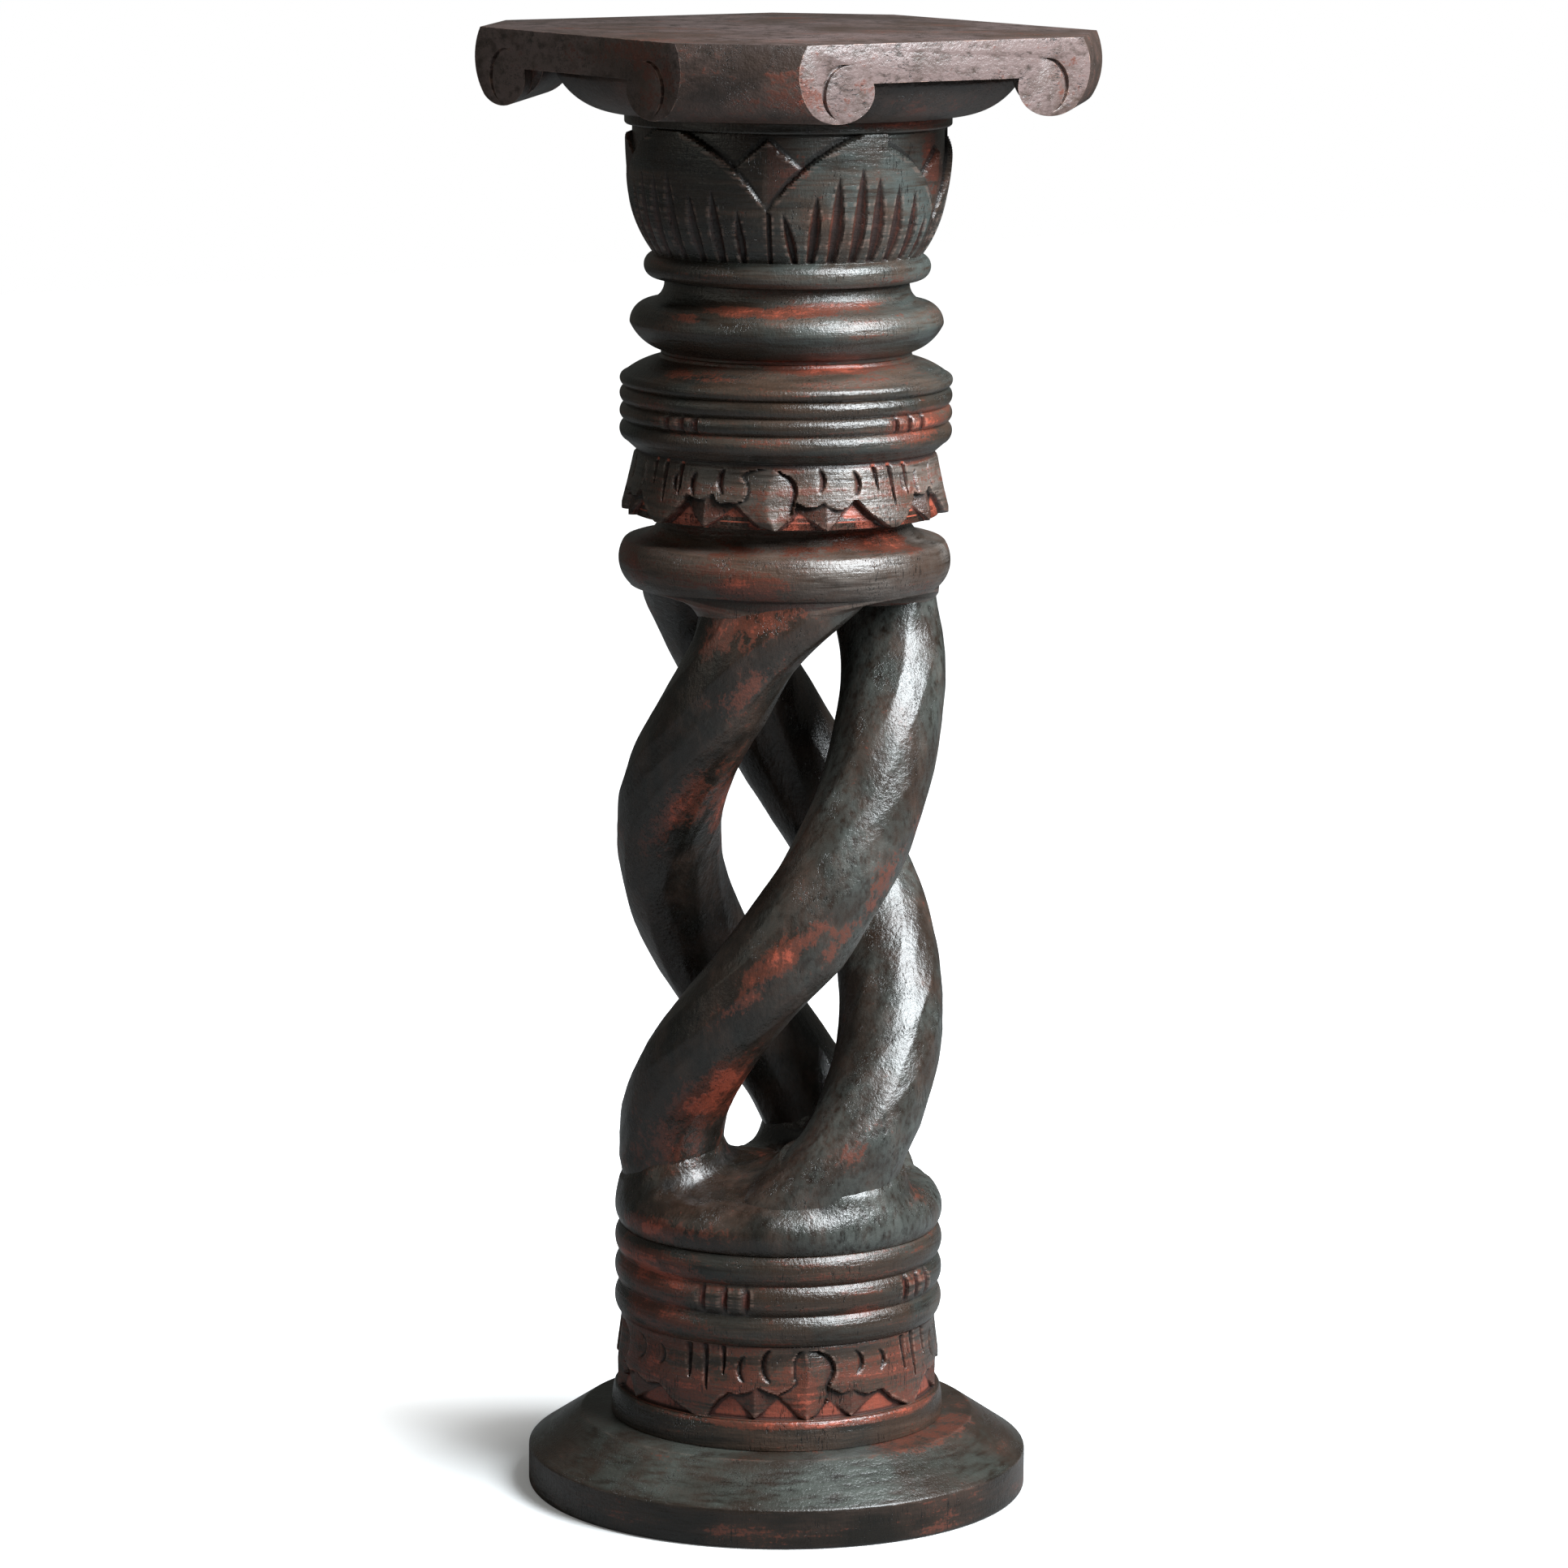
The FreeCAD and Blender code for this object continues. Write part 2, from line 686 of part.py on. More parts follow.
def strand_tenon(start, finish, angle):
    place = FreeCAD.Vector(value("strand_circle"), 0, start)
    tenon = Part.makeCylinder(value("tenon_radius"), finish - start, place)
    tenon.rotate(FreeCAD.Vector(), FreeCAD.Vector(0, 0, 1), angle)
    return tenon


def make_strands(cap_blank):
    """The strands wind upwards anticlockwise seen from above, tenoned into the disc and the drum cap.

    Between their ends they lag a little behind an even pitch."""
    top = value(seats["upper_disc"])
    cap_seat = value(seats["drum_cap"])
    bottom = cap_seat + value("dome_edge_height")
    start = cap_seat + value("tenon_length") * 0.5
    degrees_per_length = 360 / value("twist_pitch")
    lag = value("twist_lag")
    count = int(value("strand_count"))
    pieces = []
    for number in range(count):
        top_angle = value("twist_top_angle") + number * 360 / count
        sections = []
        for level in STRAND_LEVELS:
            height = start + (top - start) * level
            angle = top_angle - (top - height) * degrees_per_length + lag * math.sin(math.pi * level)
            sections.append(strand_section(height, top, angle))
        strand = Part.makeLoft(sections, True, False)
        strand = strand.cut(cap_blank)
        lower_angle = top_angle - (top - bottom) * degrees_per_length
        lower_end = cap_seat + value(tenon_floor() + " + fit")
        lower_tenon = strand_tenon(lower_end, bottom + value("tenon_root"), lower_angle)
        upper_tenon = strand_tenon(top - value("tenon_root"), top + value("tenon_length"), top_angle)
        strand = strand.fuse([lower_tenon, upper_tenon]).removeSplitter()
        piece = document.addObject("Part::Feature", f"TwistStrand{number + 1}")
        piece.Label = f"twist_strand_{number + 1}"
        piece.Shape = strand.Solids[0] if len(strand.Solids) == 1 else strand
        pieces.append(piece)
    return pieces


def placed_shape(body, feature):
    shape = feature.Shape.copy()
    shape.Placement = body.Placement.multiply(feature.Placement)
    return shape


parts = [make_plinth(), make_foot_moulding(), make_lotus_band(), make_reeded_drum()]
drum_cap = make_drum_cap()
upper_disc = make_upper_disc()
document.recompute()
cap_blank = placed_shape(drum_cap, drum_cap.Tip)
parts += make_strands(cap_blank)
cut_mortises(drum_cap, upper_disc)
parts += [drum_cap, upper_disc, make_petal_collar(), make_reeded_collar(), make_torus_section()]
parts += [make_capital(), make_neck_ring(), make_bearer_bowl(), make_top_slab()]

dowel_joint = f"{seats['torus_section']} + torus_height / 2"
parts += [
    make_dowel("drum_dowel", "plinth_floor + fit",
               f"{seats['drum_cap']} + dome_height - dome_roof - fit"),
    make_dowel("collar_dowel", f"{seats['upper_disc']} + disc_floor + fit", f"{dowel_joint} - fit"),
    make_dowel("capital_dowel", dowel_joint, f"{seats['bearer_bowl']} + bowl_height - disc_floor - fit"),
    make_screws("slab_screws", f"{seats['bearer_bowl']} + slab_screw_recess - slab_screw_head",
                "slab_screw", "slab_screw_circle"),
    make_screws("plinth_screws", "plinth_screw_recess - washer_thickness - plinth_screw_head",
                "plinth_screw", "plinth_screw_circle"),
    make_washers(),
]
document.recompute()

for item in document.Objects:
    if "Invalid" in item.State or "Error" in item.State:
        raise RuntimeError(f"{item.Name} ({item.Label}) did not build: {item.State}")
for part in parts:
    if part.Shape.isNull() or not part.Shape.isValid():
        raise RuntimeError(f"{part.Label} has no valid shape")

os.makedirs("parts", exist_ok=True)
for part in parts:
    part.Shape.exportStep(f"parts/{part.Label}.step")
    print(f"{part.Label}: {len(part.Shape.Solids)} solid, {part.Shape.Volume / 1000:.1f} cm3")
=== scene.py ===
import bpy
import math
import numpy as np
from mathutils import Matrix, Vector


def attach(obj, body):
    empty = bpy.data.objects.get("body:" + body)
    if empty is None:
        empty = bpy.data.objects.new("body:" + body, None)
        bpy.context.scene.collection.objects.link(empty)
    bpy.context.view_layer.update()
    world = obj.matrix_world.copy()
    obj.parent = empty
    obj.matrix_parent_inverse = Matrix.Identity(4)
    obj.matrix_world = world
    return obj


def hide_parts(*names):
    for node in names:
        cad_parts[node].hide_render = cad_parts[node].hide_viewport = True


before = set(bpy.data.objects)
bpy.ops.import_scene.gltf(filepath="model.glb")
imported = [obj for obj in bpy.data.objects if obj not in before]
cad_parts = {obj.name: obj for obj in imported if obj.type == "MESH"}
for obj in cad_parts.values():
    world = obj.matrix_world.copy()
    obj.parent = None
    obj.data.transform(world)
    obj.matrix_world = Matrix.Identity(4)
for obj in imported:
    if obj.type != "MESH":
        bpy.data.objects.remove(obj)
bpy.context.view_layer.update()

# sizes are in millimetres and angles in degrees, counted round the column from the side that
# faces the camera, positive to its right
mm = 0.001
facing = 233.7


# small tools
def hexColour(text):
    channels = [int(text[place:place + 2], 16) / 255 for place in (1, 3, 5)]
    linear = [c / 12.92 if c <= 0.04045 else ((c + 0.055) / 1.055) ** 2.4 for c in channels]
    return (*linear, 1)


def clearSelection():
    if bpy.context.mode != "OBJECT":
        bpy.ops.object.mode_set(mode="OBJECT")
    bpy.ops.object.select_all(action="DESELECT")


def selectMesh():
    bpy.ops.mesh.select_all(action="SELECT")


def pickOnly(piece):
    clearSelection()
    piece.select_set(True)
    bpy.context.view_layer.objects.active = piece


drawing = {"step": 0.4, "bend": 0.25, "hiddenStretch": 9}


def arcPoints(start, middle, finish):
    # points on the arc from start through middle to finish, the start left out
    (ax, ay), (bx, by), (cx, cy) = start, middle, finish
    turn = 2 * (ax * (by - cy) + bx * (cy - ay) + cx * (ay - by))
    sa, sb, sc = ax * ax + ay * ay, bx * bx + by * by, cx * cx + cy * cy
    ux = (sa * (by - cy) + sb * (cy - ay) + sc * (ay - by)) / turn
    uy = (sa * (cx - bx) + sb * (ax - cx) + sc * (bx - ax)) / turn
    radius = math.hypot(ax - ux, ay - uy)
    first = math.atan2(ay - uy, ax - ux)
    half = math.atan2(by - uy, bx - ux)
    last = math.atan2(cy - uy, cx - ux)
    sweep = (last - first) % math.tau
    if (half - first) % math.tau > sweep:
        sweep -= math.tau
    count = max(2, int(abs(sweep) * radius / drawing["step"]))
    ways = [first + sweep * k / count for k in range(1, count + 1)]
    return [(ux + radius * math.cos(way), uy + radius * math.sin(way)) for way in ways]


def outlinePath(outline, spacing, soften, hidden):
    # a closed outline of (radius, height) corners and ("via", radius, height) arcs, with its corners
    # worn round over about the softening length, cut into steps that are shorter where it bends
    # and longer inside the hidden radius
    outline = outline + outline[:1]
    dense = [outline[0]]
    place = 1
    while place < len(outline):
        entry = outline[place]
        if entry[0] == "via":
            dense += arcPoints(dense[-1], entry[1:], outline[place + 1])
            place += 2
        else:
            start = dense[-1]
            across, up = entry[0] - start[0], entry[1] - start[1]
            count = max(1, int(math.hypot(across, up) / drawing["step"]))
            dense += [(start[0] + across * k / count, start[1] + up * k / count)
                      for k in range(1, count + 1)]
            place += 1
    path = np.array(dense, dtype=float)
    for _ in range(int((soften / drawing["step"]) ** 2 * 2)):
        path[1:-1] = path[1:-1] * 0.5 + (path[:-2] + path[2:]) * 0.25
    steps = np.diff(path, axis=0)
    lengths = np.hypot(steps[:, 0], steps[:, 1])
    headings = np.unwrap(np.arctan2(steps[:, 1], steps[:, 0]))
    bends = np.abs(np.diff(headings, prepend=headings[0]))
    longer = np.where(path[1:, 0] < hidden, drawing["hiddenStretch"], 1)
    shares = lengths / (spacing * longer) + bends / (drawing["bend"] * np.minimum(longer, 2))
    weights = np.concatenate([[0], np.cumsum(shares)])
    count = int(weights[-1]) + 1
    wanted = np.linspace(0, weights[-1], count + 1)
    return [tuple(float(np.interp(w, weights, path[:, axis])) for axis in (0, 1)) for w in wanted]


def turnPiece(name, outline, seat, steps, spacing=1.5, soften=0.6, hidden=70):
    # one point is drawn out along the outline and spun through an eighth of a turn about the
    # column's axis, and the eighth is then doubled three times
    path = outlinePath(outline, spacing, soften, hidden)
    clearSelection()
    bpy.ops.mesh.primitive_plane_add(size=mm, location=(0, 0, 0))
    piece = bpy.context.active_object
    piece.name = name
    piece.data.name = name
    bpy.ops.object.mode_set(mode="EDIT")
    selectMesh()
    bpy.ops.mesh.merge(type="CENTER")
    bpy.ops.transform.translate(value=(path[0][0] * mm, 0, (path[0][1] + seat) * mm))
    for before, after in zip(path, path[1:]):
        move = ((after[0] - before[0]) * mm, 0, (after[1] - before[1]) * mm)
        bpy.ops.mesh.extrude_region_move(TRANSFORM_OT_translate={"value": move})
    selectMesh()
    bpy.ops.mesh.spin(steps=steps // 8, angle=math.tau / 8, center=(0, 0, 0), axis=(0, 0, 1))
    for share in (8, 4, 2):
        selectMesh()
        bpy.ops.mesh.duplicate()
        bpy.ops.transform.rotate(value=math.tau / share, orient_axis="Z", center_override=(0, 0, 0))
    selectMesh()
    bpy.ops.mesh.remove_doubles(threshold=0.02 * mm)
    bpy.ops.mesh.normals_make_consistent(inside=False)
    bpy.ops.object.mode_set(mode="OBJECT")
    return piece


def readPoints(piece):
    points = np.empty(len(piece.data.vertices) * 3)
    piece.data.vertices.foreach_get("co", points)
    return points.reshape(-1, 3) / mm


def writePoints(piece, points):
    piece.data.vertices.foreach_set("co", (points * mm).ravel())
    piece.data.update()


def shortWay(turn):
    # the same turn, from -180 to 180 degrees
    return (turn + 180) % 360 - 180


def polar(points):
    angle = np.degrees(np.arctan2(points[:, 1], points[:, 0])) - facing
    return shortWay(angle), np.hypot(points[:, 0], points[:, 1]), points[:, 2]


def readColumn(piece):
    points = readPoints(piece)
    return (points, *polar(points))


def unit(value):
    return np.clip(value, 0, 1)


def ramp(value, low, high):
    # 0 at low and 1 at high, easing at both ends
    share = unit((value - low) / (high - low))
    return share * share * (3 - 2 * share)


def ripple(angle, height, seed, size):
    # a slow random wave over the column's side, about -1 to 1, with features of the given size
    wave = np.zeros_like(angle)
    local = np.random.default_rng(seed)
    for _ in range(7):
        turns = int(local.integers(1, max(2, int(630 / size))))
        climb = height * local.uniform(-1, 1) * 6.28 / size
        wave += np.sin(np.radians(angle) * turns + climb + local.uniform(0, 6.28))
    return wave / 4


def scallops(across, along, seed, wrap):
    # shallow gouge cuts side by side: 0 in the middle of each, rising to its border with the next
    local = np.random.default_rng(seed)
    table = local.uniform(0.12, 0.88, (64, 64, 2))
    column = np.floor(across).astype(int)
    row = np.floor(along).astype(int)
    best = np.full(across.shape, 9.0)
    for dc in (-1, 0, 1):
        for dr in (-1, 0, 1):
            c = column + dc
            r = row + dr
            spot = table[c % wrap % 64, r % 64]
            gap = (c + spot[:, 0] - across) ** 2 + (r + spot[:, 1] - along) ** 2
            best = np.minimum(best, gap)
    return np.sqrt(best)


def setAttribute(piece, name, values):
    attribute = piece.data.attributes.new(name, "FLOAT", "POINT")
    attribute.data.foreach_set("value", np.clip(values, -1, 1).astype(np.float32))


def rubbedZones(angle, height, zones, ground, lean=0.0):
    # where hands and cloths have worn the stain: (angle, height, reach round, reach up, strength),
    # with ragged borders; the lean turns each zone with its height, to follow a strand
    rub = np.full_like(angle, float(ground))
    ragged = 1 + ripple(angle, height, 77, 24) * 0.22 + ripple(angle, height, 78, 10) * 0.12
    for place, level, reachRound, reachUp, strength in zones:
        around = shortWay(angle - place - (height - level) * lean)
        away = (around / reachRound) ** 2 + ((height - level) / reachUp) ** 2
        rub = np.maximum(rub, strength * np.exp(-away) * ragged)
    return rub


def markEdgeWearAndHollowShade(piece, rounds=14):
    # how far each point stands above its surroundings, in millimetres: edges above 0, hollows below;
    # the finish turns the edges pale with wear and paints shade into the hollows
    mesh = piece.data
    points = readPoints(piece)
    edges = np.empty(len(mesh.edges) * 2, dtype=np.int32)
    mesh.edges.foreach_get("vertices", edges)
    start, finish = edges.reshape(-1, 2).T
    count = len(points)
    share = np.bincount(start, minlength=count) + np.bincount(finish, minlength=count)
    smooth = points.copy()
    for _ in range(rounds):
        for axis in range(3):
            column = smooth[:, axis]
            total = np.bincount(start, column[finish], count) + np.bincount(finish, column[start], count)
            smooth[:, axis] = column * 0.3 + total / share * 0.7
    normals = np.empty(count * 3)
    mesh.vertices.foreach_get("normal", normals)
    setAttribute(piece, "edgeWearAndHollowShade", ((points - smooth) * normals.reshape(-1, 3)).sum(axis=1))


def finishPiece(piece, node, material, smoothAngle=40):
    pickOnly(piece)
    bpy.ops.object.shade_smooth_by_angle(angle=math.radians(smoothAngle))
    piece.data.materials.clear()
    piece.data.materials.append(material)
    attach(piece, "root")
    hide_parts(node)
    print(f"{piece.name}: {len(piece.data.polygons)} faces")


# the finishes
def addNode(tree, kind, settings=None, links=None):
    # settings are node properties, or constants for the sockets that they name
    node = tree.nodes.new(kind)
    for key, content in (settings or {}).items():
        if isinstance(key, str) and hasattr(node, key):
            setattr(node, key, content)
        else:
            node.inputs[key].default_value = content
    for key, output in (links or {}).items():
        tree.links.new(output, node.inputs[key])
    return node


def newMaterial(name):
    material = bpy.data.materials.new(name)
    material.use_nodes = True
    material.node_tree.nodes.clear()
    return material, material.node_tree


def stainedWood(name, finish):
    # oiled hardwood under a near-black stain that is rubbed through to the red-brown wood beneath:
    # the eye gets a dark brown ground streaked by the tools, warm patches where it is rubbed or cut,
    # a grey dust on the smooth outer faces, which most pieces lay on heavier towards the key light as a
    # painted sheen, pale worn edges, painted shade in the hollows and a broad cool gloss
    material, tree = newMaterial(name)
    place = addNode(tree, "ShaderNodeTexCoord").outputs["Object"]
    edgeWearAndHollowShade, bare, dustAndPaintedSheen, rub = [addNode(tree, "ShaderNodeAttribute", {"attribute_name": key}).outputs["Fac"]
                              for key in ("edgeWearAndHollowShade", "bare", "dustAndPaintedSheen", "rub")]
    alongTool, alongGrain = [
        addNode(tree, "ShaderNodeMapping", {"Scale": finish[key]}, {"Vector": place}).outputs[0]
        for key in ("toolStretch", "grainStretch")]

    def noise(vector, size, detail, rough, distortion=0.0):
        settings = {"Scale": 1 / (size * mm), "Detail": detail, "Roughness": rough,
                    "Distortion": distortion}
        return addNode(tree, "ShaderNodeTexNoise", settings, {"Vector": vector}).outputs["Fac"]

    def band(value, low, high, top=1.0):
        return addNode(tree, "ShaderNodeMapRange", {"interpolation_type": "SMOOTHSTEP", "From Min": low,
                       "From Max": high, "To Max": top}, {"Value": value}).outputs[0]

    def blend(share, first, second):
        # a mix of two colours, each one a hex value or another node's output
        node = addNode(tree, "ShaderNodeMix", {"data_type": "RGBA"}, {"Factor": share})
        for socket, colour in ((6, first), (7, second)):
            if isinstance(colour, str):
                node.inputs[socket].default_value = hexColour(colour)
            else:
                tree.links.new(colour, node.inputs[socket])
        return node.outputs[2]

    def combine(operation, first, second, third=None):
        node = addNode(tree, "ShaderNodeMath", {"operation": operation})
        for socket, content in enumerate((first, second, third)):
            if isinstance(content, (int, float)):
                node.inputs[socket].default_value = content
            elif content is not None:
                tree.links.new(content, node.inputs[socket])
        return node.outputs[0]

    streak = noise(alongTool, finish["streakSize"], 5.0, 0.62)
    fine = noise(alongTool, finish["streakSize"] * 0.18, 3.0, 0.6)
    grain = noise(alongGrain, 1.5, 4.0, 0.6)
    patch = noise(place, finish["patchSize"], 5.0, 0.6, 0.5)
    speck = noise(place, 2.2, 3.0, 0.65)
    checks = combine("MULTIPLY", band(noise(alongGrain, 0.8, 2.0, 0.5), 0.6, 0.65),
                     band(noise(place, 22, 2.0, 0.5), 0.5, 0.58))

    ground = blend(band(patch, 0.36, 0.66), finish["dark"], finish["brown"])
    ground = blend(band(streak, 0.42, 0.7, 0.7), ground, finish["light"])
    ground = blend(band(grain, 0.5, 0.74, 0.4), ground, finish["dark"])
    # the grey share: dust everywhere, and painted sheen where a piece raises it on its lit side
    paintedSheenAndDustCover = combine("MULTIPLY", combine("ADD", dustAndPaintedSheen, finish["dustAndPaintedSheenBase"]), band(patch, 0.7, 0.32))
    ground = blend(combine("MULTIPLY", paintedSheenAndDustCover, band(fine, 0.25, 0.6)), ground, finish["dustAndPaintedSheenColour"])
    worn = combine("MULTIPLY_ADD", combine("SUBTRACT", streak, 0.5), 1.3,
                   combine("ADD", rub, combine("MULTIPLY", combine("SUBTRACT", patch, 0.5), 0.7)))
    worn = combine("MULTIPLY_ADD", combine("SUBTRACT", fine, 0.5), 0.8, worn)
    worn = combine("MULTIPLY_ADD", combine("SUBTRACT", speck, 0.5), 0.7, worn)
    colour = blend(band(worn, 0.3, 0.52, 0.92), ground, finish["red"])
    colour = blend(band(worn, 0.6, 0.92, 0.9), colour, finish["bright"])
    opened = combine("MINIMUM", combine("MULTIPLY", bare, 1.6), 1.0)
    opened = combine("MULTIPLY", opened, band(speck, 0.2, 0.5, 0.92))
    shade = combine("MULTIPLY_ADD", bare, 0.75, combine("MULTIPLY", streak, 0.5))
    colour = blend(opened, colour, blend(band(shade, 0.62, 1.0), finish["cut"], finish["bright"]))
    edge = combine("MULTIPLY", band(edgeWearAndHollowShade, 0.1, 0.4), band(fine, 0.46, 0.62))
    colour = blend(combine("MULTIPLY", edge, finish["edgeStrength"]), colour, finish["edge"])
    # painted shade: the hollows, below their surroundings, are darkened towards the near-black
    colour = blend(band(edgeWearAndHollowShade, -0.05, -0.35, 0.75), colour, finish["deep"])
    colour = blend(combine("MULTIPLY", checks, 0.8), colour, finish["deep"])

    smooth, dull = finish["gloss"]
    rough = addNode(tree, "ShaderNodeMapRange", {"From Min": 0.3, "From Max": 0.7,
                    "To Min": smooth, "To Max": dull}, {"Value": streak}).outputs[0]
    rough = combine("ADD", rough, band(edgeWearAndHollowShade, -0.04, -0.3, 0.25))
    rough = combine("ADD", rough, combine("MULTIPLY", bare, 0.12))
    height = combine("MULTIPLY_ADD", fine, 1.0, combine("MULTIPLY", grain, 0.3))
    height = combine("MULTIPLY_ADD", speck, 0.8, height)
    height = combine("SUBTRACT", height, checks)
    bump = addNode(tree, "ShaderNodeBump", {"Strength": finish["bump"], "Distance": 0.8 * mm},
                   {"Height": height})
    surface = addNode(tree, "ShaderNodeBsdfPrincipled", {"IOR": 1.45, "Coat Weight": finish["coat"],
                      "Coat Roughness": 0.2, "Coat IOR": 1.5},
                      {"Base Color": colour, "Roughness": rough, "Normal": bump.outputs[0],
                       "Coat Normal": bump.outputs[0]})
    addNode(tree, "ShaderNodeOutputMaterial", {}, {"Surface": surface.outputs[0]})
    return material


columnFinish = {
    "dark": "#15110c", "brown": "#34261d", "light": "#5c483c", "red": "#5d3327",
    # deep is the near-black of the cracks and of the shade painted into the hollows
    "bright": "#a34f3b", "cut": "#3a2019", "edge": "#94776b", "deep": "#070604",
    "dustAndPaintedSheenColour": "#4f5653", "dustAndPaintedSheenBase": 0.08,
    "grainStretch": (1, 1, 0.1), "toolStretch": (0.09, 0.09, 1), "patchSize": 75, "streakSize": 14,
    "edgeStrength": 0.35, "gloss": (0.22, 0.44), "bump": 0.6, "coat": 0.35,
}
columnWood = stainedWood("stainedCarvedHardwood", columnFinish)
paleWood = stainedWood("stainedHardwoodHandled", columnFinish | {
    "brown": "#3c2c23", "light": "#6b5447", "dustAndPaintedSheenColour": "#6b625c", "patchSize": 60})
strandFinish = columnFinish | {
    "dark": "#120f0b", "brown": "#2b1f18", "light": "#47362d", "dustAndPaintedSheenColour": "#575b57",
    "toolStretch": (0.9, 0.9, 0.55), "streakSize": 20, "patchSize": 60, "coat": 0.4,
    "edgeStrength": 0.0, "bump": 0.5}
strandWood = stainedWood("gougedHardwoodWaxed", strandFinish)
capWood = stainedWood("gougedHardwoodCap", strandFinish | {"gloss": (0.16, 0.38)})
plinthWood = stainedWood("turnedHardwoodPlinth", columnFinish | {
    "brown": "#2c211a", "light": "#3f2f27", "dustAndPaintedSheenColour": "#474b46", "dustAndPaintedSheenBase": 0.0, "edgeStrength": 0.2,
    "toolStretch": (0.15, 0.15, 1)})
topWood = stainedWood("wornHardwoodTop", columnFinish | {
    "dark": "#231b16", "brown": "#43332b", "light": "#5c463e", "dustAndPaintedSheenColour": "#695855", "dustAndPaintedSheenBase": 0.1,
    "grainStretch": (0.25, 1, 1), "toolStretch": (0.4, 0.4, 0.7), "streakSize": 18, "gloss": (0.4, 0.58),
    "edgeStrength": 0.9})


def plainMaterial(name, colour, rough, metallic=0.0):
    material, tree = newMaterial(name)
    place = addNode(tree, "ShaderNodeTexCoord").outputs["Object"]
    speck = addNode(tree, "ShaderNodeTexNoise", {"Scale": 1 / (2 * mm), "Detail": 3.0}, {"Vector": place})
    spread = addNode(tree, "ShaderNodeMapRange", {"To Min": rough - 0.06, "To Max": rough + 0.06},
                     {"Value": speck.outputs["Fac"]})
    surface = addNode(tree, "ShaderNodeBsdfPrincipled",
                      {"Base Color": hexColour(colour), "Metallic": metallic},
                      {"Roughness": spread.outputs[0]})
    addNode(tree, "ShaderNodeOutputMaterial", {}, {"Surface": surface.outputs[0]})
    return material


# beech dowels, pale and fine-grained, and bright zinc on steel for the screws and washers
dowelWood = plainMaterial("beechDowelPlaned", "#b98f62", 0.55)
screwSteel = plainMaterial("zincPlatedSteel", "#b9bcc0", 0.35, 1.0)
print("finishes made")


# the plinth and the foot moulding
bore = 16.1  # the dowels' holes, a little wider than the dowels

plinth = {"radius": 154.9, "wall": 24, "shelf": 122, "height": 46, "ripple": 0.35}
piece = turnPiece("plinthTurned", [
    (bore, 16), (0, 16), (0, 0), (plinth["radius"] - 1.2, 0), (plinth["radius"], 1.2),
    (plinth["radius"], plinth["wall"]), (plinth["shelf"], plinth["height"]), (bore, plinth["height"]),
], 0, 480, spacing=3, soften=0.8)
points, angle, radius, height = readColumn(piece)
shift = ripple(angle, height, 3, 120) * plinth["ripple"] * ramp(radius, 100, 120) - plinth["ripple"]
points[:, :2] *= ((radius + shift * (radius > 90)) / np.maximum(radius, 1))[:, None]
writePoints(piece, points)
markEdgeWearAndHollowShade(piece, 6)
# painted sheen with grey dust on the upward chamfer, none on the wall
setAttribute(piece, "dustAndPaintedSheen", ramp(height, 23, 26) * 0.9)
setAttribute(piece, "rub", rubbedZones(angle, height, [(0, 8, 90, 12, 0.3), (40, 46, 60, 3, 0.3)], 0.05))
finishPiece(piece, "plinth", plinthWood)

foot = {"radius": 103, "top": 101, "height": 18}
piece = turnPiece("footMouldingTurned", [
    (bore, 0), (foot["radius"], 0), ("via", foot["radius"] - 0.4, foot["height"] / 2),
    (foot["top"], foot["height"] - 1), (foot["top"] - 1, foot["height"]), (bore, foot["height"]),
], 46, 480, spacing=1.6, soften=0.5)
angle, radius, height = polar(readPoints(piece))
markEdgeWearAndHollowShade(piece, 6)
setAttribute(piece, "rub", rubbedZones(angle, height, [(20, 62, 70, 3, 0.8), (-30, 56, 25, 8, 0.3)], 0.12))
finishPiece(piece, "foot_moulding", columnWood)


# the two carved friezes
def friezePhase(angle, knots):
    # where a point lies in the repeat: 0 on a ridged leaf, 45 on a slit petal, 90 on the next leaf
    turned = np.where(angle < knots[0][0], angle + 360, angle)
    turned = np.where(turned > knots[-1][0], turned - 360, turned)
    return np.interp(turned, [k[0] for k in knots], [k[1] for k in knots])


def crescent(x, y, centre, side, size):
    # a gouge cut along an arc that bulges to one side: a steep wall outside, and inside it a short
    # slope that runs out into a long gentle one
    ahead = (x - centre[0]) * side + size["radius"]
    away = np.hypot(ahead, y - centre[1])
    turn = np.degrees(np.arctan2(y - centre[1], ahead)) / size["span"]
    taper = np.cos(np.clip(turn, -1, 1) * math.pi / 2) ** 0.6
    inward = np.maximum(size["radius"] - away, 0)
    near = unit(1 - inward / (size["width"] * np.maximum(taper, 0.15)))
    far = unit(1 - inward / (size["width"] * 2.6))
    outside = unit(1 - (away - size["radius"]) / 0.8)
    profile = np.where(away < size["radius"], 0.72 * near + 0.28 * far, outside)
    return size["depth"] * taper * profile * (np.abs(turn) < 1)


